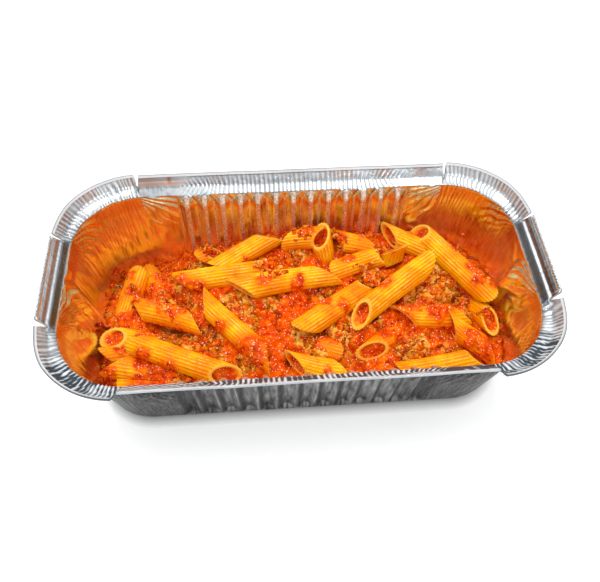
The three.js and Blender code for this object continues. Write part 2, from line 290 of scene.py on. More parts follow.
def wall_push(z):
    """How far the wall stands in at height z: flutes, gathers, corner pleats and dents."""
    below = SHOULDER_Z - z
    flutes = FLUTE["depth"] * flute_reach * smooth(below, 0.2, FLUTE["ramp"])
    flutes = flutes + 0.35 * in_flutes * smooth(below - arch_line, -0.2, 0.4) + 0.5 * slash_ridges(z)
    flutes = flutes + END_FLUTE["depth"] * end_reach * smooth(below - END_FLUTE["top"], 0, 9)
    # Fine upright pleats round the corners, deepest under the shoulder, and broad soft folds.
    lean = 0.10 * below * np.sin(travel / 7.3)
    wander = 1.6 * soft_noise(travel, below * 0.25, 3, 5)
    pleats = folds(travel + lean + wander, 2.3) + 0.6 * folds(travel * 1.37 - lean + wander, 1.6)
    corner_zone = np.where(on_corner, smooth(np.minimum(bend, 90 - bend), -6, 16), 0)
    corner_zone = corner_zone * (1 - 0.85 * smooth(below, 6, 36))
    broad = folds(travel + 0.45 * below + 3 * soft_noise(travel, below, 8, 14), 7.5)
    broad_zone = np.where(on_long, 0, 0.6) * smooth(below, 4, 16)
    dents = 0.25 * soft_noise(rim_x, rim_y, z, 17) + 0.10 * soft_noise(rim_x, rim_y, z * 0.7, 6)
    creases = FAN["depth"] * wall_creases(z) + 0.16 * pleats * corner_zone + 0.16 * broad * broad_zone
    return (flutes + creases + dents) * above_foot(z)


def flange_pleats(inset):
    """The zigzag of the flange's pleats, from -1 to 1: none on the short sides."""
    from_middle = np.abs(along)
    slant = np.sign(along) * smooth(from_middle, 22, 60) * on_long
    wander = 0.9 * soft_noise(rim_x, rim_y, 5, 6)
    long_pleats = folds(travel + slant * (np.abs(inset - 3.9) - 1.5) * 1.3 * side_y + wander, 2.15)
    long_pleats = long_pleats * (1 - 0.9 * smooth(from_middle, 48, 60))
    long_pleats = long_pleats * (1 - 0.8 * smooth(from_middle, 46, 60) * fade(inset, 3.4, 4.2))
    corner_pleats = folds(travel + wander * 1.6 + 0.3 * inset, 2.1)
    corner_pleats = corner_pleats + 0.5 * folds(travel * 1.7 + wander - 0.5 * inset, 1.7)
    corner_pleats = corner_pleats * (0.8 + 0.5 * soft_noise(travel, inset, 9, 3)) * smooth(bend, 1, 9)
    return np.where(on_long, long_pleats, np.where(on_corner, corner_pleats, 0))


def flange_ring(inset, drop, pleated=1.0):
    """One ring of the flange or bead, cut in at the nicks and flared out round the corners."""
    lift = pleated * np.where(on_long, 0.25, 0.35) * flange_pleats(inset) * smooth(inset, 1.2, 3.0)
    shake = 0.22 * soft_noise(rim_x, rim_y, 20, 15)
    on_edge = fade(inset, 3.2, SHOULDER["inset"])
    reach = inset - (flare - shake) * on_edge
    below = drop + np.where(flare > 0, FLARE["drop"], 0) * on_edge - lift
    cut_reach = np.maximum(reach, NICK["inset"] + 0.3 * inset)
    cut_below = np.maximum(below, NICK["drop"] + 0.3 * drop)
    reach = reach + (cut_reach - reach) * nicked
    below = below + (cut_below - below) * nicked
    return ring(RIM, reach, TRAY_HEIGHT - below)


def wall_finish(z):
    """Round one ring of the wall: its oil film, deepened low down by a painted reflection of the meal, its
    rough embossed strips, a painted shade line beside each slanting ridge, and painted shade in its gutters
    outside.
    """
    below = SHOULDER_Z - z
    over_arch = in_flutes * fade(below - arch_line, -0.2, 0.2)
    crease = smooth(np.abs(wall_creases(z)), 0.78, 0.94) * fade(below, 8, 18) * on_long
    # A painted shade line runs beside each slanting ridge, where the oil film is left off.
    beside_slash = slash_ridges(z, SLASH_SHADE_ASIDE)
    bright = np.max([over_arch, crease, slash_ridges(z), beside_slash], axis=0)
    crest = in_flutes & (np.abs(flute_phase) < 0.12)
    groove = in_flutes & (np.abs(flute_phase) > 0.455)
    knurl = np.maximum(np.where(crest | groove, 1 - over_arch, 0), 0.3 * over_arch)
    # Outside, painted shade darkens the gaps between the flutes, the band under the flange and the scored
    # foil beyond them.
    gutter_shade = in_flutes * np.exp(-(((flute_phase + 0.36) / 0.17) ** 4))
    gutter_shade = np.maximum(gutter_shade, 0.85 * fade(below, 9, 14))
    scored = folds(travel + 0.7 * below + 2 * soft_noise(travel, below, 12, 4), 2.6)
    beyond = np.where(on_long, smooth(np.abs(along), FLUTED_HALF - 22, FLUTED_HALF - 1), 1)
    gutter_shade = np.maximum(gutter_shade, beyond * (0.92 - 0.35 * smooth(scored, 0.3, 0.9)))
    # Low down near the meal, oil and a painted reflection of the meal deepen the orange.
    deep_oil_and_reflection = band(below, 0.5, 1.5, 6, 9) * np.where(in_flutes, 1.0, 0.7)
    film = (1 - bright) * smooth(below, 0.2, 1.0) * (0.86 + 0.14 * smooth(below, 12, 30))
    return {
        "oil_film": film, "knurl": knurl * (1 - beside_slash), "gutter_shade": gutter_shade,
        "stain_and_reflection": deep_oil_and_reflection * (1 - bright), "shade": 0.8 * beside_slash,
    }


def flange_finish(reach, inset):
    """Round one ring of the flange: a painted orange reflection of the meal far out, painted shade in its
    pleats and bands, and the duller near side.
    """
    pleat = flange_pleats(inset)
    near = fade(rim_y, -46, -20)
    back = on_long & (side_y > 0)
    left_end = back * smooth(-along, 46, 58)
    far_out = smooth(reach, 4.6, 6.0)
    stripe = band(reach, 5.6, 6.0, 7.4, 7.8)
    # The near side's pleats are uneven, and at its left end they are swept aside.
    uneven = pleat + 0.8 * soft_noise(travel, inset, 33, 2.4)
    swept = folds(0.8 * along - 3.2 * inset + 3 * soft_noise(travel, inset, 43, 6), 5.5)
    uneven = uneven + (swept + 0.2 - uneven) * on_long * smooth(-along, 36, 50)
    # Painted shade darkens the pleats' valleys, most on the near side, a line at the back's left end, creases
    # at its ends, and bands on the short sides.
    shade = np.clip(0.42 - 0.6 * pleat * (1 + soft_noise(travel, inset, 31, 5)), 0, 1)
    shade = shade + near * (1.15 - 1.1 * smooth(uneven, -0.3, 0.9) - shade)
    crease_shade = back * smooth(np.abs(along), 50, 60) * (0.9 + 0.9 * soft_noise(travel, reach, 41, 3))
    shade = np.max([shade, 2.4 * left_end * smooth(reach, 7.0, 7.6), crease_shade], axis=0)
    strength = np.maximum(np.where(on_corner, 0.8, 0.25), 1.05 * near)
    short_shade = 0.85 * band(reach, 0.6, 1.2, 3.9, 4.3) + 0.25 * stripe
    # A painted reflection of the meal colours the far side and a stripe on the short sides orange, and one
    # smear of sauce crosses it near the left corner.
    reflection_patches = smooth(soft_noise(travel, reach, 37, 9), -0.3, 0.5) * fade(pleat, -0.1, 0.7)
    smear = np.exp(-(((along - SMEAR_ON_FLANGE["x"]) / SMEAR_ON_FLANGE["half_width"]) ** 2))
    meal_reflection_and_smear = np.max([
        0.5 * towards_long * far_out * reflection_patches,
        0.7 * left_end * band(reach, 5.2, 5.8, 6.8, 7.4),
        smear * back * smooth(reach, 5, 6),
    ], axis=0)
    dull = np.max([near, np.where(on_corner, 0.5, 0) * far_out, 0.7 * left_end * far_out], axis=0)
    return {
        "stain_and_reflection": (1 - near) * (1 - nicked) * (meal_reflection_and_smear + 0.9 * (1 - towards_long) * stripe),
        "shade": towards_long * shade * strength + (1 - towards_long) * short_shade,
        "dull": dull * towards_long,
    }


def tray_rings():
    """Rings from the middle of the floor, up the wall, out over the flange and round the bead."""
    rings, finishes = [], []

    def add(points, finish):
        rings.append(points)
        finishes.append(finish)

    for share in (0.12, 0.45, 0.75, 0.92):
        floor_ring = ring(BASE, FOOT["inset"], FOIL_GAUGE)
        add(floor_ring * np.array([share, share, 1]), {"oil_film": 0.4, "knurl": 0.3})
    for turn in np.linspace(0, pi / 2, 6):
        inset = FOOT["inset"] * (1 - sin(turn))
        foot_ring = ring(BASE, inset * 0.98, FOIL_GAUGE + FOOT["height"] * 0.72 * (1 - cos(turn)))
        add(foot_ring, {"oil_film": 0.35, "knurl": 0.4, "gutter_shade": 0.3})
    low = np.linspace(FOOT["height"], SHOULDER_Z - 7.5, 38)
    high = np.linspace(SHOULDER_Z - 7.1, SHOULDER_Z - 0.4, 18)
    for z in np.concatenate([low, high]):
        add(ring(wall_plan(z), wall_push(z), z), wall_finish(z))
    for reach in np.linspace(0, FLANGE["long"][-1][0], 19):
        long_inset, long_drop = flange_profile("long", reach)
        short_inset, short_drop = flange_profile("short", reach)
        inset = short_inset + (long_inset - short_inset) * towards_long
        drop = short_drop + (long_drop - short_drop) * towards_long
        add(flange_ring(inset, drop, 1 - 0.6 * smooth(reach, 5, 9)), flange_finish(reach, inset))
    for number, (inset, drop) in enumerate(BEAD):
        # The bead's hatching and its outer side get painted shade.
        hatch = np.where(on_short, smooth(folds(travel + 0.45 * number, 1.5), -0.4, 0.4), 0)
        outer_side = 0.95 * smooth(number, 0.5, 3) * np.where(on_long & (side_y < 0), 0.5, 1)
        dull = np.where(on_short, 0, np.maximum(number < 2, outer_side))
        finish = {"knurl": hatch, "shade": np.maximum(0.5 * hatch, outer_side), "dull": dull}
        add(flange_ring(inset + 0 * along, drop + 0 * along, 0), finish)
    masks = {
        mask: np.concatenate([finish.get(mask, 0) + 0 * along for finish in finishes])
        for mask in ("oil_film", "knurl", "gutter_shade", "stain_and_reflection", "shade", "dull")
    }
    return rings, masks


def flange_profile(side, reach):
    """The inset and drop on the flange that far up from the shoulder."""
    reaches, insets, drops = zip(*FLANGE[side])
    return np.interp(reach, reaches, insets), np.interp(reach, reaches, drops)


def quads_between_rings(ring_count, stop_count):
    """Faces that join neighbouring rings, with each ring closed on itself."""
    rows = np.arange(ring_count - 1)[:, None] * stop_count
    here = np.arange(stop_count)[None, :]
    after = (here + 1) % stop_count
    corners = [rows + here, rows + after, rows + stop_count + after, rows + stop_count + here]
    return np.stack(corners, -1).reshape(-1, 4)


def new_piece(name, points, faces, masks, *materials):
    """A smooth mesh in the frame's metres that carries one value a point for each named mask."""
    mesh = bpy.data.meshes.new(name)
    mesh.from_pydata((np.asarray(points) * MM).tolist(), [], [list(face) for face in faces])
    for mask, values in masks.items():
        layer = mesh.attributes.new(mask, "FLOAT", "POINT")
        layer.data.foreach_set("value", np.asarray(values, np.float32))
    mesh.polygons.foreach_set("use_smooth", np.ones(len(mesh.polygons), bool))
    for material in materials:
        mesh.materials.append(material)
    mesh.update()
    piece = bpy.data.objects.new(name, mesh)
    bpy.context.scene.collection.objects.link(piece)
    return piece


def set_inputs(node, inputs):
    """Each named input of a node set to a value, or linked to another node's output."""
    for socket, value in inputs.items():
        if isinstance(value, bpy.types.NodeSocket):
            node.id_data.links.new(value, node.inputs[socket])
        else:
            node.inputs[socket].default_value = value


def add_node(tree, node_type, inputs=None, **settings):
    """A shader node with its settings and its inputs."""
    made = tree.nodes.new(node_type)
    for setting, value in settings.items():
        setattr(made, setting, value)
    set_inputs(made, inputs or {})
    return made


def maths(tree, operation, *values, node_type="ShaderNodeMath", output=0):
    """The output of one Math node, or of a Vector Math node."""
    return add_node(tree, node_type, dict(enumerate(values)), operation=operation).outputs[output]


def times(tree, value, factor, *more):
    """A value times a factor, and more added to it where more is given."""
    return maths(tree, "MULTIPLY_ADD" if more else "MULTIPLY", value, factor, *more)


def remap(tree, value, low, high, new_low=0.0, new_high=1.0):
    """A value stretched from one range to another and kept inside it."""
    limits = {"From Min": low, "From Max": high, "To Min": new_low, "To Max": new_high}
    return add_node(tree, "ShaderNodeMapRange", {"Value": value, **limits}).outputs["Result"]


def noise(tree, place, scale, detail=2.0):
    inputs = {"Vector": place, "Scale": scale, "Detail": detail}
    return add_node(tree, "ShaderNodeTexNoise", inputs).outputs["Fac"]


def blend(tree, factor, below, above, **settings):
    inputs = {"Factor": factor, "A": below, "B": above}
    return add_node(tree, "ShaderNodeMix", inputs, data_type="RGBA", **settings).outputs["Result"]


def mask_of(tree, name):
    return add_node(tree, "ShaderNodeAttribute", attribute_name=name).outputs["Fac"]


def ramp(tree, factor, *stops):
    """A colour ramp: places from 0 to 1, each with its red, green and blue."""
    made = add_node(tree, "ShaderNodeValToRGB", {"Fac": factor})
    elements = made.color_ramp.elements
    while len(elements) < len(stops):
        elements.new(0.5)
    for element, (place, colour) in zip(elements, stops):
        element.position = place
        element.color = (*colour, 1)
    return made.outputs["Color"]


def relief(tree, height, strength, distance):
    """The normal of a bump with its distance in millimetres."""
    inputs = {"Height": height, "Strength": strength, "Distance": distance * MM}
    return add_node(tree, "ShaderNodeBump", inputs).outputs["Normal"]


def object_place(tree):
    return add_node(tree, "ShaderNodeTexCoord").outputs["Object"]


def new_group(name, inputs, outputs):
    """A shader node group with named inputs and outputs: socket name to its type and default."""
    group = bpy.data.node_groups.new(name, "ShaderNodeTree")
    for socket, (socket_type, value) in inputs.items():
        made = group.interface.new_socket(socket, in_out="INPUT", socket_type=socket_type)
        made.default_value = value
    for socket, socket_type in outputs.items():
        group.interface.new_socket(socket, in_out="OUTPUT", socket_type=socket_type)
    return group, group.nodes.new("NodeGroupInput"), group.nodes.new("NodeGroupOutput")


def place_group(tree, group, inputs):
    return add_node(tree, "ShaderNodeGroup", inputs, node_tree=group)


def new_material(name):
    material = bpy.data.materials.new(name)
    material.use_nodes = True
    return material, material.node_tree, material.node_tree.nodes["Principled BSDF"]


def build_drawn_foil_group():
    """Marks of pressing in thin metal: streaks that run up the wall, wavy bands, and fine crinkles."""
    number = "NodeSocketFloat"
    group, given, result = new_group(
        "drawn_foil",
        {"Stretch": (number, 0.1), "Bands": (number, 30.0)},
        {"Streaks": number, "Waves": number, "Height": number},
    )
    place = object_place(group)
    height = add_node(group, "ShaderNodeSeparateXYZ", {"Vector": place}).outputs["Z"]
    up = times(group, height, given.outputs["Stretch"])
    upright = add_node(group, "ShaderNodeCombineXYZ", {"X": mask_of(group, "round_way"), "Y": up}).outputs[0]
    streaks = noise(group, upright, 760.0, 2.5)
    wavy = times(group, noise(group, upright, 150.0, 1.5), given.outputs["Bands"])
    cells = add_node(
        group, "ShaderNodeTexVoronoi", {"Vector": place, "Scale": 240.0}, feature="DISTANCE_TO_EDGE"
    ).outputs["Distance"]
    fine = times(group, noise(group, place, 1500.0, 2.0), 0.10, maths(group, "MINIMUM", cells, 0.35))
    set_inputs(result, {
        "Streaks": streaks,
        "Waves": times(group, maths(group, "SINE", wavy), 0.5, 0.5),
        "Height": times(group, streaks, 0.9, fine),
    })
    return group


drawn_foil = build_drawn_foil_group()


def inner_foil_material():
    """Bright aluminium under a film of orange oil, deepened by a painted reflection of the meal, with painted
    shade in its pleats and folds, and speckled embossed strips.
    """
    material, tree, shader = new_material("oily_foil")
    marks = place_group(tree, drawn_foil, {"Stretch": 0.07, "Bands": 30.0})
    film, knurl, stain_and_reflection, shade, dull = (
        mask_of(tree, name) for name in ("oil_film", "knurl", "stain_and_reflection", "shade", "dull")
    )
    place = object_place(tree)
    patches = noise(tree, place, 45.0, 2.0)
    speckle = noise(tree, place, 2100.0, 1.0)
    oil = ramp(
        tree, times(tree, marks.outputs["Streaks"], 1.0, times(tree, patches, 0.35)),
        (0.46, (0.66, 0.45, 0.17)), (0.59, (0.92, 0.84, 0.38)),
        (0.71, (0.98, 0.95, 0.54)), (0.85, (1.0, 0.98, 0.84)),
    )
    # The deeper orange is oil and sauce with a painted reflection of the meal; the dark is painted shade.
    deep_oil_and_reflection, stain_and_reflection_orange, painted_shade_colour = (0.80, 0.33, 0.09, 1), (0.72, 0.30, 0.14, 1), (0.04, 0.055, 0.07, 1)
    oil = blend(tree, times(tree, stain_and_reflection, 0.75), oil, deep_oil_and_reflection)
    metal = ramp(tree, patches, (0.3, (0.76, 0.79, 0.81)), (0.7, (0.89, 0.92, 0.94)))
    grey_dots = ramp(tree, speckle, (0.40, (0.40, 0.41, 0.42)), (0.62, (0.95, 0.95, 0.95)))
    pink_dots = ramp(tree, speckle, (0.38, (0.52, 0.27, 0.17)), (0.60, (1.0, 0.86, 0.75)))
    folded = blend(tree, shade, blend(tree, stain_and_reflection, metal, stain_and_reflection_orange), painted_shade_colour)
    plain, embossed = blend(tree, film, folded, oil), blend(tree, film, grey_dots, pink_dots)
    rough = times(tree, film, 0.08, remap(tree, patches, 0.3, 0.7, 0.12, 0.2))
    height = times(tree, times(tree, speckle, knurl), 0.8, marks.outputs["Height"])
    set_inputs(shader, {
        "Base Color": blend(tree, knurl, plain, embossed),
        "Roughness": times(tree, knurl, 0.3, times(tree, dull, 0.3, rough)),
        "Metallic": maths(tree, "SUBTRACT", 1.0, dull),
        "Specular IOR Level": 0.15,
        "Normal": relief(tree, height, 0.3, 0.4),
    })
    return material


def outer_foil_material():
    """The dry outside of the foil: duller and darkened, a painted reflection of a dim room, with the wavy
    drawing bands that bare sheet shows and painted shade in its gutters.
    """
    material, tree, shader = new_material("dry_foil")
    marks = place_group(tree, drawn_foil, {"Stretch": 0.12, "Bands": 50.0})
    gutter_shade = mask_of(tree, "gutter_shade")
    streaks = maths(tree, "ADD", marks.outputs["Streaks"], 0.04)
    tone = times(tree, marks.outputs["Waves"], 0.13, streaks)
    greys = (0.40, (0.05, 0.05, 0.05)), (0.62, (0.19, 0.19, 0.186)), (0.95, (0.46, 0.46, 0.45))
    painted_shade_black = (0.014, 0.015, 0.014, 1)
    height = times(tree, marks.outputs["Waves"], 0.25, marks.outputs["Height"])
    set_inputs(shader, {
        "Base Color": blend(tree, gutter_shade, ramp(tree, tone, *greys), painted_shade_black),
        "Metallic": times(tree, gutter_shade, -0.95, 1.0),
        "Roughness": remap(tree, tone, 0.4, 0.9, 0.42, 0.26),
        "Specular IOR Level": 0.1,
        "Normal": relief(tree, height, 0.25, 0.4),
    })
    return material


def make_tray():
    rings, masks = tray_rings()
    points = np.concatenate(rings)
    faces = quads_between_rings(len(rings), len(along))[:, ::-1].tolist()
    faces.append(list(range(len(along))))
    masks["round_way"] = np.tile(travel, len(rings)) * MM
    tray = new_piece(
        "pressed_foil_tray", points, faces, masks, inner_foil_material(), outer_foil_material()
    )
    gauge = tray.modifiers.new("gauge", "SOLIDIFY")
    gauge.thickness = FOIL_GAUGE * MM
    gauge.offset = -1
    gauge.material_offset = 1
    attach(tray, "root")
    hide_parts("foil_tray")


make_tray()

# ---------------------------------------------------------------- meat sauce

# The bed of the meal: minced meat cooked in tomato sauce, ladled over the pasta and settled between
# it. It lies highest in the middle and thins towards the ends and the corners.

PENNE = {"radius": 5.3, "bore": 3.9, "slant": 1.15, "ridges": 20, "ridge": 0.23}

# Middle, heading, climb, length, the way the open end faces round the tube, and how sauced it is.
PASTA = [
    ((-55.5, -25.5, 25.5), 154, -5, 56, 45, 0.3),
    ((-78.8, -9.3, 15.4), -2, -22, 36, -8, 0.3),
    ((-76.5, -15.5, 13.5), 5, -6, 41, -130, 0.4),
    ((-74.3, -25.6, 17.5), -11, 0, 41.6, 72, 0.5),
    ((-64, -34, 14), -8, 3, 46, 176, 0.4),
    ((-85, 15.5, 13), -104, -8, 38, 180, 0.35),
    ((-70, 18, 13), -67, 14, 42, 180, 0.7),
    ((-64.6, 0.6, 22.5), -24, 9, 45, -90, 0.65),
    ((-31, -13, 28), -47, -2, 55, -95, 0.3),
    ((-32.5, 19.5, 26), 3, 5, 58, -150, 0.3),
    ((-6.5, 11, 31.5), 7, 0, 56, -110, 0.3),
    ((-24.5, 32.5, 28), 26, 11, 41, -135, 0.2),
    ((6, 37, 31), 4, 0, 28, 108, 0.6),
    ((14.5, 32.5, 27), -74, -56, 27, -55, 0.25),
    ((29.5, 34, 28.5), -15, -3, 31, -90, 0.5),
    ((33, 22.5, 27.5), 20, -2, 39, 156, 0.45),
    ((49, 25.5, 27), -126, -71, 23, -105, 0.3),
    ((60.5, 32, 27.5), -25, -11, 38, -92, 0.3),
    ((64, 28.5, 21), -15, -6, 33, -84, 0.35),
    ((78.5, 19, 29.5), -54, -4, 58, -24, 0.25),
    ((45.5, 2.5, 33), 36, 1, 56, 18, 0.12),
    ((18.5, -3.5, 30), 32, 1, 52, -158, 0.3),
    ((63.5, -9, 24), 3, -9, 42, -112, 0.4),
    ((80.3, -20.8, 22.5), -38, -12, 34, -110, 0.85),
    ((89.7, -6, 20.5), 100, -34, 32, -30, 0.3),
    ((64, -35, 23), 10, -6, 48, -150, 0.25),
    ((6, -34.5, 27), -14, -4, 34, -85, 0.25),
    ((43, -16.5, 21.5), 44, -20, 45, -66, 0.75),
    ((2, -18.5, 20.5), -25, 9, 40, -26, 0.5),
    ((-43.5, 35.5, 22), 25, 0, 17, 180, 0.6),
    ((-1, 31, 20.5), 8, 2, 35, 170, 0.8),
]

# The depth of the meal in the middle, how much less it is at the ends and sides, its least depth, and
# how far its grains are sunk into it.
MEAL = {"depth": 25.8, "end_fall": 8.0, "side_fall": 3.0, "least": 1.8, "sunk": 2.3}

# Where the meal is thin: the middle of the hollow, how much is missing there, and how far it spreads.
# Where less than nothing is missing, it is heaped up.
HOLLOWS = [
    ((-75, 38), 12, 26), ((-71, 47), 8, 8), ((-99, -27), 15, 9), ((-99, -6), 9, 8), ((84, 36), 6, 9),
    ((-66, 20), -4, 8), ((-90, 0), -5, 5),
]
BED_GRID = {"columns": 420, "rows": 190}
BED_ROUNDING = 0.2

# How far inside the wall the bed's surface stays, and its border, the edge tucked under that border and
# its foot; the tucked edge lies "tuck_drop" below the border and the foot "foot_drop" below the least depth.
BED_GAP = {"top": 0.65, "edge": 0.15, "tuck": 0.6, "low": 2.2, "tuck_drop": 2, "foot_drop": 0.6}

# How the meal banks up against a tube: from this far below its axis, at this slope, at most so high.
BANK = {"below_axis": 0.5, "slope": 0.8, "height": 1.8, "room": 5, "end_room": 2}

# How it stays below an open end: this far below the mouth's middle, and at this slope round it.
MOUTH = {"least_tilt": 0.3, "least_height": -3, "below": 4.5, "slope": 0.7, "radius": 5}

# Three sizes of grain, and as shares of the size, how far each grain is shifted and its radius. The
# first index keeps every index above 0.
GRAIN = {"clump": 5.6, "coarse": 2.7, "fine": 1.35, "jitter": 0.42, "radius": 0.8}
GRAIN_INDEX = {"first": 900000, "seed": 71, "turn": 389}

# Where the mince has gathered on the sauce: the middle of each cluster and its radius.
MINCE = [
    ((-50, 32), 7), ((-57, 26), 6), ((-64, 0), 3), ((-56, 9), 4), ((-64, -8), 5), ((-56, -14), 6),
    ((-43, -18), 8), ((-48, -14), 5), ((-27, -28), 4), ((-34, 5), 5), ((-27, 6), 4), ((-24, -6), 6),
    ((-55, -33), 5), ((-9, 7), 4), ((-14, 4), 4), ((1, 29), 4), ((18, 13), 4), ((13, 7), 4),
    ((1, -15), 6), ((4, -21), 5), ((17, -19), 6), ((9, -23), 4), ((19, -12), 5), ((35, -12), 4),
    ((48, -26), 8), ((57, -26), 5), ((71, -25), 5), ((55, 0), 3), ((68, 6), 7), ((76, 9), 7),
    ((75, 15), 4), ((85, 0), 5), ((81, -10), 4), ((30, 27), 4), ((42, 29), 4), ((-17, 14), 5),
]


def penne_axes(heading, climb, facing):
    heading, climb, facing = radians(heading), radians(climb), radians(facing)
    along_tube = np.array([cos(climb) * cos(heading), cos(climb) * sin(heading), sin(climb)])
    left = np.array([-sin(heading), cos(heading), 0.0])
    up = np.cross(along_tube, left)
    face = up * cos(facing) + left * sin(facing)
    return along_tube, face, np.cross(along_tube, face)


def squared_away(x, y, middle):
    return (x - middle[0]) ** 2 + (y - middle[1]) ** 2


def meal_height(x, y):
    """The top of the meal, before its lumps and grains."""
    height = MEAL["depth"] - MEAL["end_fall"] * np.abs(x / BASE["half_length"]) ** 3
    height = height - MEAL["side_fall"] * (y / BASE["half_width"]) ** 2
    for middle, missing, spread in HOLLOWS:
        height = height - missing * np.exp(-squared_away(x, y, middle) / (2 * spread ** 2))
    return height


def meatiness(x, y):
    """How much mince shows at a place: some everywhere, most in the clusters."""
    share = 0.22 + 0.55 * soft_noise(x, y, 40, 6.0) + 0.3 * soft_noise(x, y, 44, 2.5)
    for middle, radius in MINCE:
        share = share + np.exp(-squared_away(x, y, middle) / radius ** 2)
    return np.clip(share, 0, 1)


def grains(x, y, size, seed):
    """Rounded grains packed side by side: how high each rises, from 0 to 1, and its own random tone."""
    cell_x, cell_y = np.floor(x / size), np.floor(y / size)
    nearest, tone = np.full(x.shape, 9.0), np.zeros(x.shape)
    for step_x in (-1, 0, 1):
        for step_y in (-1, 0, 1):
            here_x, here_y = cell_x + step_x, cell_y + step_y
            places = here_x * NOISE_STRIDES[1] + here_y * NOISE_STRIDES[2]
            index = (places + seed * GRAIN_INDEX["seed"] + GRAIN_INDEX["first"]).astype(int)
            turns = (index + turn * GRAIN_INDEX["turn"] for turn in range(3))
            jitter_x, jitter_y, shade = (random_value(indices) for indices in turns)
            middle = (here_x + 0.5 + GRAIN["jitter"] * jitter_x, here_y + 0.5 + GRAIN["jitter"] * jitter_y)
            gap = np.sqrt(squared_away(x / size, y / size, middle))
            tone = np.where(gap < nearest, 0.5 + 0.5 * shade, tone)
            nearest = np.minimum(gap, nearest)
    return np.sqrt(np.clip(1 - (nearest / GRAIN["radius"]) ** 2, 0, 1)), tone


def seen_from_above(x, y, middle, heading):
    """For places seen from above: how far they lie along a tube from its middle, and beside its axis."""
    flat_x, flat_y = cos(radians(heading)), sin(radians(heading))
    offset_x, offset_y = x - middle[0], y - middle[1]
    return offset_x * flat_x + offset_y * flat_y, np.abs(offset_y * flat_x - offset_x * flat_y)


def heap_against_pasta(x, y, z):
    """The meal's height where it also banks up against the sides of the pasta lying in it."""
    for middle, heading, climb, length, _, _ in PASTA:
        reach, aside = seen_from_above(x, y, middle, heading)
        beyond = np.maximum(np.abs(reach) - length / 2 * cos(radians(climb)) + BANK["end_room"], 0)
        axis_z = middle[2] + reach * np.tan(radians(climb))
        off_tube = np.maximum(np.hypot(aside, beyond) - PENNE["radius"], 0)
        bank = axis_z - BANK["below_axis"] - BANK["slope"] * off_tube
        z = np.maximum(z, np.minimum(bank, z + BANK["height"] * smooth(bank - z, 0, BANK["room"])))
    return z


def clear_of_mouths(x, y, z):
    """The meal's height where it stays below the lower lip of every open end that faces up."""
    for middle, heading, climb, length, facing, _ in PASTA:
        along_tube, face, _ = penne_axes(heading, climb, facing)
        for end in (-1, 1):
            mouth = np.array(middle) + end * (length / 2 - PENNE["radius"]) * along_tube
            opens_up = (end * along_tube - end * PENNE["slant"] * face)[2]
            above_meal = mouth[2] - meal_height(mouth[0], mouth[1])
            if opens_up > MOUTH["least_tilt"] and above_meal > MOUTH["least_height"]:
                away = np.hypot(x - mouth[0], y - mouth[1])
                lip = mouth[2] - MOUTH["below"] + MOUTH["slope"] * np.maximum(away - MOUTH["radius"], 0)
                z = np.minimum(z, lip)
    return z


def bed_surface(x, y):
    """The lumpy top of the meal at a place: its height, its share of mince, its tone and the painted shade in
    its crevices.
    """
    meat = meatiness(x, y)
    bent_x, bent_y = (
        place + 0.9 * soft_noise(x, y, seed, 2.6) + 0.5 * soft_noise(x, y, seed + 1, 1.1)
        for place, seed in ((x, 50), (y, 54))
    )
    clump, clump_tone = grains(bent_x, bent_y, GRAIN["clump"], 3)
    coarse, coarse_tone = grains(bent_x, bent_y, GRAIN["coarse"], 1)
    fine, fine_tone = grains(bent_x, bent_y, GRAIN["fine"], 2)
    lumps = 1.8 * soft_noise(x, y, 1, 8.0) + 1.2 * soft_noise(x, y, 7, 3.4)
    pulp = 1.8 * clump + 0.4 * coarse + 0.15 * fine
    mince = 1.5 * clump + 1.3 * coarse + 0.5 * fine
    z = heap_against_pasta(x, y, meal_height(x, y)) + lumps - MEAL["sunk"] + pulp * (1 - meat) + mince * meat
    z = clear_of_mouths(x, y, z + 0.3 * soft_noise(x, y, 80, 1.0))
    # Painted shade in the crevices between grains and clumps, and in the low places.
    crevice_shade = (0.15 + 0.75 * meat) * fade(0.9 * coarse + 0.5 * fine, 0.3, 1.0)
    crevice_shade = crevice_shade + 0.7 * fade(clump, 0.15, 0.6) + 0.35 * smooth(-lumps, 0.5, 2.2)
    tone = 0.35 * clump_tone + 0.4 * coarse_tone + 0.25 * fine_tone
    return np.maximum(z, MEAL["least"]), meat, tone, np.clip(crevice_shade, 0, 1)


def foot_rounding(z):
    """How far in the rounded foot of the wall stands at height z, with a little to spare."""
    share = np.clip(1 - (1 - z / FOOT["height"]) ** 2, 0, 1)
    return FOOT["inset"] * (1 + FOOT["spare"] - np.sqrt(share)) * (z < FOOT["height"])


def keep_inside_tray(x, y, z, gap):
    """Places pulled in, where they need it, to stand a gap clear of the wall at their height."""
    plan = wall_plan(z)
    corner = plan["corner"]
    straight_x, straight_y = plan["half_length"] - corner, plan["half_width"] - corner
    past_x, past_y = np.abs(x) - straight_x, np.abs(y) - straight_y
    reach = np.hypot(past_x, past_y)
    room = corner - gap - foot_rounding(z)
    in_corner = (past_x > 0) & (past_y > 0)
    pull = np.where(in_corner & (reach > room), room / np.maximum(reach, 0.1), 1.0)
    flutes = FLUTE["depth"] * flute_section(x)[1] * above_foot(z)
    off_end = np.abs(y - END_FLUTE["y"])
    room_beside = END_FLUTE["half_width"] + END_FLUTE["spare"] - off_end
    on_end = np.clip(room_beside / END_FLUTE["half_width"] * 1.3, 0, 1)
    end_flute = END_FLUTE["depth"] * on_end * above_foot(z)
    near_x = np.where(past_x > 0, straight_x + np.minimum(past_x, room - end_flute) * pull, np.abs(x))
    near_y = np.where(past_y > 0, straight_y + np.minimum(past_y, room - flutes) * pull, np.abs(y))
    return np.sign(x) * near_x, np.sign(y) * near_y


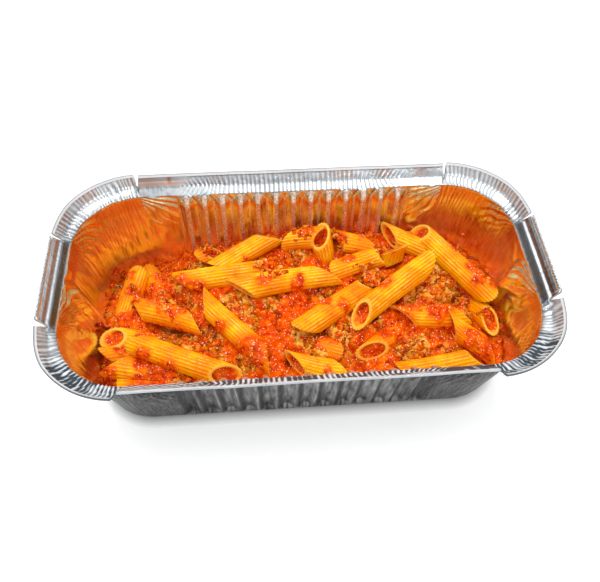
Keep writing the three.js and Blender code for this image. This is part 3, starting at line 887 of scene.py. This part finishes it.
def wall_beside(points, gap):
    """Beside each point, a place on the wall a gap inside its folds, and the wall's outward way there."""
    levels = np.round(points[:, 2])
    places, outward = np.empty((len(points), 2)), np.empty((len(points), 2))
    for level in np.unique(levels):
        here = levels == level
        wall = ring(wall_plan(level), wall_push(level) + gap + foot_rounding(level), level)[:, :2]
        nearest = np.linalg.norm(points[here, None, :2] - wall[None], axis=2).argmin(1)
        places[here] = wall[nearest]
        outward[here] = np.stack([out_x, out_y], 1)[nearest]
    return places, outward


def held_by_wall(points, gap):
    """Points pulled in along the wall's outward way wherever they lie beyond it."""
    wall, outward = wall_beside(points, gap)
    beyond = ((points[:, :2] - wall) * outward).sum(1)
    held = points.copy()
    held[:, :2] -= outward * np.maximum(beyond, 0)[:, None]
    return held


def bed_plan(u, v):
    """A place over the bed for u and v from -1 to 1, rounded at the tray's corners."""
    plan = wall_plan(MEAL["depth"])
    x = plan["half_length"] * u * np.sqrt(1 - BED_ROUNDING * v * v)
    y = plan["half_width"] * v * np.sqrt(1 - BED_ROUNDING * u * u)
    return x, y


def build_sauce_group():
    """Tomato sauce and fried mince: colour with painted shade in the crevices and painted glints, roughness
    and fine relief.
    """
    number = "NodeSocketFloat"
    group, given, result = new_group(
        "tomato_sauce",
        {"Meatiness": (number, 0.3), "Tone": (number, 0.5), "Crevice_shade": (number, 0.0)},
        {"Color": "NodeSocketColor", "Roughness": number, "Height": number},
    )
    meatiness_in, tone_in, crevice_shade_in = (given.outputs[name] for name in ("Meatiness", "Tone", "Crevice_shade"))
    place = object_place(group)
    pulp, specks = noise(group, place, 320.0, 3.0), noise(group, place, 1600.0, 2.0)
    sauce = ramp(
        group, times(group, specks, 0.25, times(group, pulp, 0.8)),
        (0.38, (0.42, 0.020, 0.0)), (0.48, (0.68, 0.058, 0.0)),
        (0.58, (0.80, 0.10, 0.0)), (0.70, (0.86, 0.22, 0.001)),
    )
    meat = ramp(
        group, times(group, specks, 0.5, times(group, tone_in, 0.9)),
        (0.42, (0.15, 0.022, 0.0)), (0.56, (0.36, 0.07, 0.001)),
        (0.72, (0.62, 0.19, 0.003)), (0.92, (0.86, 0.44, 0.06)),
    )
    bare = remap(group, times(group, noise(group, place, 240.0, 2.0), 0.9, meatiness_in), 0.88, 1.22)
    crevice_shade_colour, glint_colour = (0.15, 0.010, 0.0, 1), (1.0, 0.78, 0.58, 1)
    shaded = blend(group, times(group, crevice_shade_in, 0.95), blend(group, bare, sauce, meat), crevice_shade_colour)
    # Painted glints of light on the wet sauce.
    glints = times(group, remap(group, noise(group, place, 1300.0, 0.0), 0.72, 0.76), 0.8)
    set_inputs(result, {
        "Color": blend(group, glints, shaded, glint_colour),
        "Roughness": remap(group, bare, 0.0, 1.0, 0.22, 0.4),
        "Height": times(group, specks, 0.35, pulp),
    })
    return group


tomato_sauce = build_sauce_group()


def sauce_material(name, masks, strength, distance, coat_roughness):
    """Sauce and mince, told apart by the masks of the piece, with bump of a strength and distance."""
    material, tree, shader = new_material(name)
    sauce = place_group(tree, tomato_sauce, {mask.capitalize(): mask_of(tree, mask) for mask in masks})
    set_inputs(shader, {
        "Base Color": sauce.outputs["Color"],
        "Roughness": sauce.outputs["Roughness"],
        "Specular IOR Level": 0.01,
        "Coat Weight": 0.05,
        "Coat Roughness": coat_roughness,
        "Normal": relief(tree, sauce.outputs["Height"], strength, distance),
    })
    return material


def make_meat_sauce():
    columns, rows = BED_GRID["columns"], BED_GRID["rows"]
    u, v = np.meshgrid(np.linspace(-1, 1, columns), np.linspace(-1, 1, rows))
    x, y = bed_plan(u, v)
    x, y = keep_inside_tray(x, y, bed_surface(x, y)[0], BED_GAP["top"])
    z, meat, tone, crevice_shade = bed_surface(x, y)
    x, y = keep_inside_tray(x, y, z, BED_GAP["top"])
    top = np.stack([x, y, z], -1).reshape(-1, 3)
    index = np.arange(columns * rows).reshape(rows, columns)
    faces = np.stack([index[:-1, :-1], index[:-1, 1:], index[1:, 1:], index[1:, :-1]], -1).reshape(-1, 4)
    # Its border lies on the wall, is tucked in just below, and runs down to the floor.
    border = np.concatenate([index[0, :-1], index[:-1, -1], index[-1, :0:-1], index[:0:-1, 0]])
    edge = top[border]
    top[border, :2] = wall_beside(edge, BED_GAP["edge"])[0]
    tuck = edge.copy()
    tuck[:, 2] = np.maximum(edge[:, 2] - BED_GAP["tuck_drop"], MEAL["least"])
    tuck[:, :2] = wall_beside(tuck, BED_GAP["tuck"])[0]
    low_z = np.full(len(border), MEAL["least"] - BED_GAP["foot_drop"])
    low = np.stack([*keep_inside_tray(edge[:, 0], edge[:, 1], low_z, BED_GAP["low"]), low_z], -1)
    middle = len(top) + np.arange(len(border))
    lower = middle + len(border)
    faces = faces.tolist() + [lower.tolist()[::-1]]
    for over, under in ((border, middle), (middle, lower)):
        faces += np.stack([over, under, np.roll(under, -1), np.roll(over, -1)], -1).tolist()
    rims = np.concatenate([border, border])
    masks = {"meatiness": meat, "tone": tone, "crevice_shade": crevice_shade}
    masks = {name: np.append(values, values.reshape(-1)[rims]) for name, values in masks.items()}
    material = sauce_material("meat_sauce", masks, 0.8, 0.5, 0.05)
    bed = new_piece("meat_sauce", np.concatenate([top, tuck, low]), faces, masks, material)
    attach(bed, "root")


make_meat_sauce()

# ---------------------------------------------------------------- penne

# Ridged tubes of durum pasta cut on the slant, cooked and tossed in the sauce, so that every piece
# carries an orange film, red smears and some mince, and its bore holds sauce.

SIDES = PENNE["ridges"] * 4
LENGTH_STEPS = 22
END_RINGS = 9

# What differs from tube to tube: the share by which it is oval, its bow, and the lump of sauce in an end.
TUBE_VARIES = {"oval": (0.02, 0.07), "bow": (-1.0, 1.0), "lump": (0.3, 1.2)}

# How deep the sauce lies in the end of a clean tube, how much higher in a fully sauced one, and the
# radii of its inner rings.
SAUCE_IN_BORE = {"depth": 7.0, "rise": 6.5, "radii": (0.05, 1.6, 3.0)}

# How far the film of sauce covers a tube: at least, by the row's amount, unevenly, where the tube dips
# into the bed, and in a smear; and how far thick sauce stands off the pasta.
FILM = {"least": 0.16, "by_amount": 0.34, "uneven": 0.30, "grain": 7.0, "buried": 0.6, "smear": 1.05}
COAT = {"least": 0.35, "uneven": 0.45, "grain": 1.6}

# Patches of red sauce on the pasta: the middle of each and its radius.
SMEARS = [
    ((-94, -26), 8), ((-74, -24), 6), ((-66, -30), 6), ((-86, -15), 4), ((-84, 27), 4), ((-83, 19), 5),
    ((-78, 10), 5), ((-70, 8), 7), ((-63, 3), 6), ((-59, -2), 6), ((-51, 4), 6), ((-57, 16), 6),
    ((-49, 14), 4), ((-11, 21), 5), ((-38, -12), 5), ((-25, -24), 8), ((-23, -31), 8), ((-18, -26), 8),
    ((-42, -26), 2), ((-1, 8), 4), ((-18, 9), 4), ((6, 39), 5), ((26, 40), 4), ((35, 37), 5),
    ((42, 35), 5), ((23, 33), 4), ((26, 22), 4), ((35, 12), 5), ((40, 5), 6), ((13, -2), 3),
    ((20, -5), 3.5), ((9, -4), 3), ((9, -38), 3), ((90, 7), 7), ((85, 13), 5), ((93, 4), 5), ((78, 23), 2),
    ((65, -9), 6), ((70, -6), 6), ((80, -23), 7), ((87, -28), 8), ((60, 37), 3), ((-71, -33), 4),
    ((47, -12), 8), ((54, -6), 6), ((-25, 27), 3), ((94, -17), 6), ((-71, 20), 7), ((-67, 12), 6),
    ((-72, 28), 4), ((-46, 37), 6), ((45, 28), 3), ((-84, 5), 4), ((-60, -30), 4), ((39, -19), 6),
]


def penne_rings(length, amount, seed):
    """Rings of one tube in its own axes, from the sauce in one end over the outside into the other end."""
    draw = np.random.default_rng(seed)
    turn = np.arange(SIDES) / SIDES * 2 * pi
    half = length / 2 - PENNE["slant"] * PENNE["radius"]
    ridge = np.cos(turn * PENNE["ridges"])
    oval = 1 + draw.uniform(*TUBE_VARIES["oval"]) * np.cos(2 * turn + draw.uniform(0, pi))
    bow = draw.uniform(*TUBE_VARIES["bow"])
    outside, bore = PENNE["radius"], PENNE["bore"]
    filled = SAUCE_IN_BORE["depth"] - SAUCE_IN_BORE["rise"] * amount
    rings, groove, cut, plug = [], [], [], []

    def add(radius, place, ridged=0.0, cut_face=0.0, sauce=0.0):
        reach = (radius + PENNE["ridge"] * ridge * ridged) * oval
        across = reach * np.cos(turn)
        aside = reach * np.sin(turn)
        sag = bow * ((place / half) ** 2 - 0.4)
        rings.append(np.stack([place + PENNE["slant"] * across, across + sag, aside], 1))
        groove.append((0.5 - 0.5 * ridge) * min(ridged, 1))
        cut.append(np.full(SIDES, cut_face))
        plug.append(np.full(SIDES, sauce))

    def add_end(end):
        """From the middle of the sauce in the bore out to the edge of the cut."""
        lump = draw.uniform(*TUBE_VARIES["lump"])
        for radius, rise in zip(SAUCE_IN_BORE["radii"], (lump, lump * 0.8, 0.2)):
            add(radius, end * (half - filled + rise), sauce=1)
        add(bore, end * (half - filled - 0.3), sauce=1)
        add(bore, end * (half - filled * 0.5), sauce=0.75)
        add(bore, end * (half - 0.3), cut_face=0.5, sauce=0.35)
        add(bore + 0.2, end * (half - 0.02), cut_face=1, sauce=0.12)
        add(outside - 0.45, end * (half - 0.02), 0.2, cut_face=1)
        add(outside - 0.1, end * (half - 0.25), 0.7, cut_face=0.4)

    add_end(-1)
    for place in np.linspace(-half + 0.7, half - 0.7, LENGTH_STEPS):
        add(outside, place, 1)
    first_end, lists = END_RINGS + LENGTH_STEPS, (rings, groove, cut, plug)
    add_end(1)
    for values in lists:
        values[first_end:] = values[first_end:][::-1]
    return [np.concatenate(values) for values in lists]


def smeared(x, y):
    """How thick the red patches lie at a place."""
    x = x + 2.0 * soft_noise(x, y, 60, 4.5)
    y = y + 2.0 * soft_noise(x, y, 66, 4.5)
    patch = 0.0
    for middle, radius in SMEARS:
        patch = np.maximum(patch, np.exp(-1.1 * squared_away(x, y, middle) / radius ** 2))
    return patch


def build_penne():
    points, faces = [], []
    masks = {"sauced": [], "groove": [], "cut_face": [], "bore": [], "crown": []}
    for number, (middle, heading, climb, length, facing, amount) in enumerate(PASTA):
        along_tube, face, side = penne_axes(heading, climb, facing)
        local, groove, cut, plug = penne_rings(length, amount, number)
        world = np.array(middle) + local @ np.array([along_tube, face, side])
        start = sum(len(block) for block in points)
        ring_count = len(local) // SIDES
        piece_faces = (quads_between_rings(ring_count, SIDES) + start).tolist()
        piece_faces.append(list(range(start, start + SIDES))[::-1])
        piece_faces.append(list(range(start + len(local) - SIDES, start + len(local))))
        faces.extend(piece_faces)
        x, y, z = world.T
        uneven = FILM["uneven"] * soft_noise(x, y, z * 0.6 + number * 7, FILM["grain"])
        thin = FILM["least"] + FILM["by_amount"] * amount + uneven
        buried = FILM["buried"] * smooth(meal_height(x, y) + 2.5 - z, -1.5, 3.0)
        sauced = np.clip(np.maximum(thin + buried, FILM["smear"] * smeared(x, y)), 0, 1) * (1 - 0.8 * cut)
        sauced = np.maximum(sauced, plug)
        centre = np.array(middle) + np.outer(local[:, 0], along_tube)
        outwards = world - centre
        outwards = outwards / np.maximum(np.linalg.norm(outwards, axis=1, keepdims=True), 1e-6)
        coat = COAT["least"] + COAT["uneven"] * soft_noise(x, y, z, COAT["grain"])
        coat = coat + 2 * PENNE["ridge"] * groove
        thick = smooth(sauced, 0.45, 0.8) * (groove > 0) * coat
        lumpy = plug * 0.5 * soft_noise(x, y, z, 1.4)
        points.append(world + outwards * thick[:, None] + np.outer(lumpy * (plug > 0.9), along_tube))
        # A painted highlight along the top of each tube, facing up and a little towards the front.
        crown = smooth(outwards[:, 2] - 0.3 * outwards[:, 1], 0.35, 0.9) * (cut < 0.1)
        for name, values in zip(masks, (sauced, groove * (cut < 0.5), cut, plug, crown)):
            masks[name].append(values)
    return np.concatenate(points), faces, {name: np.concatenate(values) for name, values in masks.items()}


def penne_material():
    """Cooked pasta, golden where it is bare, with a painted gleam along the ridges on top, under an uneven
    film of oil and tomato.
    """
    material, tree, shader = new_material("sauced_penne")
    sauce = place_group(tree, tomato_sauce, {"Meatiness": 0.12, "Tone": 0.6})
    place = object_place(tree)
    broad, fine = noise(tree, place, 120.0, 3.0), noise(tree, place, 420.0, 3.0)
    sauced, groove = mask_of(tree, "sauced"), mask_of(tree, "groove")
    pasta = ramp(
        tree, times(tree, groove, -0.15, maths(tree, "ADD", broad, 0.03)),
        (0.30, (0.78, 0.22, 0.0)), (0.45, (0.87, 0.345, 0.0)),
        (0.60, (0.89, 0.45, 0.002)), (0.72, (0.92, 0.58, 0.02)),
    )
    cut_colour, gleam_colour = (0.95, 0.50, 0.07, 1), (1.0, 0.80, 0.26, 1)
    oil_colour, fleck_colour = (0.86, 0.18, 0.0, 1), (0.72, 0.13, 0.004, 1)
    pasta = blend(tree, mask_of(tree, "cut_face"), pasta, cut_colour)
    # A painted gleam on the ridges along the tops of the tubes.
    gleam = times(tree, mask_of(tree, "crown"), remap(tree, fine, 0.44, 0.54))
    gleam = times(tree, gleam, remap(tree, groove, 0.28, 0.04))
    pasta = blend(tree, times(tree, gleam, 0.8), pasta, gleam_colour)
    oily = remap(tree, times(tree, fine, 0.8, sauced), 0.55, 1.05)
    stained = blend(tree, oily, pasta, oil_colour)
    flecks = times(tree, remap(tree, noise(tree, place, 800.0, 1.0), 0.66, 0.72), 0.7)
    flecked = blend(tree, flecks, stained, fleck_colour)
    broken = times(tree, maths(tree, "SUBTRACT", fine, 0.5), 0.9, sauced)
    thick = remap(tree, broken, 0.55, 0.75)
    height = times(tree, sauce.outputs["Height"], times(tree, thick, 0.8, 0.12))
    set_inputs(shader, {
        "Base Color": blend(tree, thick, flecked, sauce.outputs["Color"]),
        "Roughness": remap(tree, thick, 0.0, 1.0, 0.36, 0.2),
        "Subsurface Weight": 0.12,
        "Subsurface Radius": (1.0, 0.45, 0.15),
        "Subsurface Scale": 0.002,
        "Specular IOR Level": 0.04,
        "Coat Weight": 0.06,
        "Coat Roughness": 0.07,
        "Normal": relief(tree, height, 0.7, 0.45),
    })
    return material


def make_penne():
    penne = new_piece("penne", *build_penne(), penne_material())
    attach(penne, "root")
    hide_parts("penne_in_meat_sauce")


make_penne()

# ---------------------------------------------------------------- loose mince

# Crumbs of fried mince and soft tomato that lie on the sauce and cling to the pasta, each an uneven
# lump of its own, coated in sauce to a different depth, and drops of sauce flung on the foil.

# How many lie where, their radii, how far the lying and the clinging ones are sunk in what carries
# them as a share of their radius, and the room from the wall to a crumb's middle.
CRUMBS = {
    "in_clusters": 1150, "clinging": 420, "elsewhere": 400,
    "small": 0.4, "large": 1.4, "clinging_radius": (0.5, 1.25), "mound_radius": (0.7, 1.6),
    "lying_lift": (-0.6, 0.1), "clinging_lift": (-0.5, 0.9), "wall_gap": 0.8, "wall_radii": 1.7, "lowest": 4,
}

# Where mince is heaped on the pasta itself: the middle of each little pile and its radius.
CLINGING = [
    ((37, 10), 5), ((-12, 15), 5), ((-11, 21), 5.5), ((-17, 22), 3.5), ((6, 38), 4), ((1, 37), 3),
    ((35, 12), 5), ((31, 15), 4), ((23, 33), 4), ((27, 28), 3), ((42, 29), 3.5), ((-83, 19), 3),
    ((-80, 10), 3), ((-66, 14), 5), ((-62, 3), 4), ((-46, 36), 4), ((-24, -27), 3), ((88, -12), 3),
    ((92, 6), 2.5), ((-69, -29), 2),
]

# A mound of mince that fills the gap between two tubes, "fall" lower where it is a radius wide.
PILE = {"middle": (37.5, 7.8), "radius": 4.8, "top": 37.6, "fall": 4, "count": 190}

# Drops on the foil: a place on or near the wall, and the drop's radius.
DROPS = [
    ((90.9, 39.5, 26), 1.7), ((88.5, 40.5, 24), 0.8), ((45.6, 45.5, 19), 1.2), ((51.6, 45.2, 19), 0.9),
    ((-98.0, -0.8, 20), 1.3), ((-98.5, -6.2, 23), 0.9), ((-97.6, 3.7, 18), 1.0), ((-93.6, 33.5, 16), 2.0),
    ((-95.5, 26.9, 12), 2.4), ((-96.5, 20, 14), 1.6), ((-92.0, 35.5, 11), 1.6), ((99.8, -4.7, 29), 1.0),
]
DROP_GAP = 0.5
NO_PASTA = -99.0


def crumb_shape():
    shape = bmesh.new()
    bmesh.ops.create_icosphere(shape, subdivisions=2, radius=1)
    points = np.array([point.co for point in shape.verts])
    faces = np.array([[point.index for point in face.verts] for face in shape.faces])
    shape.free()
    return points, faces


def pasta_top(x, y):
    """The highest point of the pasta over each place, or far below where there is none."""
    top = np.full(len(x), NO_PASTA)
    for middle, heading, climb, length, _, _ in PASTA:
        reach, aside = seen_from_above(x, y, middle, heading)
        rise = cos(radians(climb))
        over = (aside < PENNE["radius"]) & (np.abs(reach) < (length / 2 - 4) * rise)
        crown = np.sqrt(np.clip(PENNE["radius"] ** 2 - aside ** 2, 0, None))
        height = middle[2] + reach * np.tan(radians(climb)) + crown / rise
        top = np.maximum(top, np.where(over, height, NO_PASTA))
    return top


def scattered(draw, clusters, count):
    """Places strewn over the clusters, closest together in their middles."""
    middles, radii = (np.array(values) for values in zip(*clusters))
    chosen = draw.choice(len(clusters), count, p=radii ** 2 / (radii ** 2).sum())
    return (middles[chosen] + draw.normal(0, 0.5, (count, 2)) * radii[chosen, None]).T


def crumb_places(draw):
    """Where the crumbs lie and how large they are: in the clusters, on the pasta, and a few anywhere."""
    strays = bed_plan(*draw.uniform(-0.95, 0.95, (2, CRUMBS["elsewhere"])))
    lying = np.append(scattered(draw, MINCE, CRUMBS["in_clusters"]), strays, 1)
    piled = scattered(draw, CLINGING, CRUMBS["clinging"])
    size = CRUMBS["small"] + (CRUMBS["large"] - CRUMBS["small"]) * draw.random(lying.shape[1]) ** 2.2
    bed = bed_surface(*lying)[0]
    lying_z = bed + size * draw.uniform(*CRUMBS["lying_lift"], len(size))
    x, y = keep_inside_tray(*lying, lying_z, CRUMBS["wall_gap"] + CRUMBS["wall_radii"] * size)
    keep = (pasta_top(*lying) < bed + 1) & (lying_z > CRUMBS["lowest"])
    piled_size = draw.uniform(*CRUMBS["clinging_radius"], piled.shape[1])
    under = np.maximum(pasta_top(*piled), bed_surface(*piled)[0])
    piled_z = under + piled_size * draw.uniform(*CRUMBS["clinging_lift"], len(piled_size))
    across = draw.normal(0, 0.45, (2, PILE["count"]))
    top_z = PILE["top"] - PILE["fall"] * np.minimum((across ** 2).sum(0), 1.5)
    mound = np.stack([*(np.array(PILE["middle"])[:, None] + across * PILE["radius"]), top_z], 1)
    places = np.concatenate([np.stack([x, y, lying_z], 1)[keep], np.stack([*piled, piled_z], 1), mound])
    mound_size = draw.uniform(*CRUMBS["mound_radius"], PILE["count"])
    return places, np.concatenate([size[keep], piled_size, mound_size])


def drop_shape(lump, outward):
    """A lump flattened against the foil, and drawn down a little under its own weight."""
    depth = lump[:, :2] @ outward
    on_foil = np.minimum(0.4 * depth, 0) - 0.15 + 0.17 * np.minimum(lump[:, 2], 0)
    return lump + np.outer(on_foil - depth, (*outward, 0))


def make_crumbs():
    draw = np.random.default_rng(5)
    ball, ball_faces = crumb_shape()
    lying, lying_size = crumb_places(draw)
    drops = np.array([place for place, _ in DROPS])
    on_wall, outwards = wall_beside(drops, 0)
    places = np.concatenate([lying, np.column_stack([on_wall, drops[:, 2]])])
    radii = np.append(lying_size, [radius for _, radius in DROPS])
    points, faces, tone, meat = [], [], [], []
    for number, (place, radius) in enumerate(zip(places, radii)):
        drop = number - len(lying)
        turned = ball @ np.linalg.qr(draw.normal(size=(3, 3)))[0]
        lumps = 1 + 0.7 * soft_noise(ball[:, 0] + number, ball[:, 1], ball[:, 2], 0.75)
        stretch = np.array([1.0, 1.0, 0.75]) if drop >= 0 else draw.uniform(0.65, 1.35, 3)
        shaped = turned * lumps[:, None] * stretch * radius
        if drop >= 0:
            points.append(held_by_wall(place + drop_shape(shaped, outwards[drop]), DROP_GAP))
        else:
            points.append(place + shaped)
        faces.append(ball_faces + number * len(ball))
        tone.append(np.full(len(ball), draw.uniform(0.2, 0.75)))
        meat.append(np.full(len(ball), 0.0 if drop >= 0 else draw.uniform(0.35, 0.75)))
    masks = {"tone": np.concatenate(tone), "meatiness": np.concatenate(meat)}
    material = sauce_material("sauced_mince", masks, 0.7, 0.4, 0.06)
    crumbs = new_piece("loose_mince", np.concatenate(points), np.concatenate(faces).tolist(), masks, material)
    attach(crumbs, "root")


make_crumbs()

# ---------------------------------------------------------------- table and light

# A plain white table in a bright room: light from above and in front, dim low down at the sides, with a
# large soft panel overhead and two small lamps that add to the wet sauce's sparkle, most of which is
# painted glints. The table's size and the lamps' are in metres.

TABLE_SIZE = 3.0
TABLE_GLOW = 0.26

# The tray's contact shadow, painted on the table: no darkening this far from the corners' centres, and all of
# it this near.
CONTACT = {"clear": 29, "full": 23, "depth": 0.75}
LAMPS = [
    {"name": "panel_overhead", "place": (-0.15, 0.3, 0.95), "size": 0.8, "power": 3.5},
    {"name": "panel_front", "place": (0.4, -0.75, 0.7), "size": 0.5, "power": 1.6},
    {"name": "sparkle", "place": (-0.35, 0.1, 0.9), "size": 0.04, "power": 0.9},
    {"name": "glint", "place": (0.3, 0.45, 0.8), "size": 0.04, "power": 0.7},
]
SKY_STRENGTH = 1.2


def table_contact(tree):
    """How far the table is darkened under and close round the tray's foot: a painted contact shadow."""
    tray_half = [(BASE[half] - BASE["corner"]) * MM for half in ("half_length", "half_width")]
    vectors = {"node_type": "ShaderNodeVectorMath"}
    flat = maths(tree, "ABSOLUTE", object_place(tree), **vectors)
    outside = maths(tree, "SUBTRACT", flat, (*tray_half, 1.0), **vectors)
    outside = maths(tree, "MAXIMUM", outside, (0, 0, 0), **vectors)
    away = maths(tree, "LENGTH", outside, **vectors, output="Value")
    return remap(tree, away, CONTACT["clear"] * MM, CONTACT["full"] * MM, 0.0, CONTACT["depth"])


def make_table():
    half = TABLE_SIZE / 2 / MM
    corners = [(-half, -half, 0), (half, -half, 0), (half, half, 0), (-half, half, 0)]
    material, tree, shader = new_material("white_table")
    grain = noise(tree, object_place(tree), 400.0)
    pale = ramp(tree, grain, (0.3, (0.93, 0.93, 0.93)), (0.7, (0.97, 0.97, 0.97)))
    contact = table_contact(tree)
    set_inputs(shader, {
        "Base Color": blend(tree, contact, pale, (0.1, 0.1, 0.1, 1)),
        "Emission Strength": times(tree, contact, -TABLE_GLOW, TABLE_GLOW),
        "Roughness": 0.8,
        "Emission Color": (1, 1, 1, 1),
    })
    table = new_piece("table", corners, [(0, 1, 2, 3)], {}, material)


def make_room():
    """Surroundings that brighten with height, broken low down by dim and bright places."""
    world = bpy.data.worlds.new("room")
    world.use_nodes = True
    tree = world.node_tree
    toward = add_node(tree, "ShaderNodeTexCoord").outputs["Generated"]
    height = add_node(tree, "ShaderNodeSeparateXYZ", {"Vector": toward}).outputs["Z"]
    sky = ramp(
        tree, height,
        (0.0, (0.10, 0.10, 0.11)), (0.12, (0.22, 0.22, 0.23)), (0.30, (0.55, 0.56, 0.57)),
        (0.5, (0.86, 0.87, 0.88)), (0.75, (1, 1, 1)),
    )
    things = ramp(tree, noise(tree, toward, 2.6, 1.0), (0.44, (0.40, 0.41, 0.43)), (0.54, (1, 1, 1)))
    low_down = remap(tree, height, 0.35, 0.65, 1.0, 0.0)
    broken = blend(tree, low_down, sky, things, blend_type="MULTIPLY")
    set_inputs(tree.nodes["Background"], {"Color": broken, "Strength": SKY_STRENGTH})
    bpy.context.scene.world = world


def make_lamps():
    for lamp in LAMPS:
        light = bpy.data.objects.new(lamp["name"], bpy.data.lights.new(lamp["name"], "AREA"))
        light.data.size = lamp["size"]
        light.data.energy = lamp["power"]
        light.location = lamp["place"]
        light.rotation_euler = Vector(lamp["place"]).to_track_quat("Z", "Y").to_euler()
        bpy.context.scene.collection.objects.link(light)


make_table()
make_room()
make_lamps()
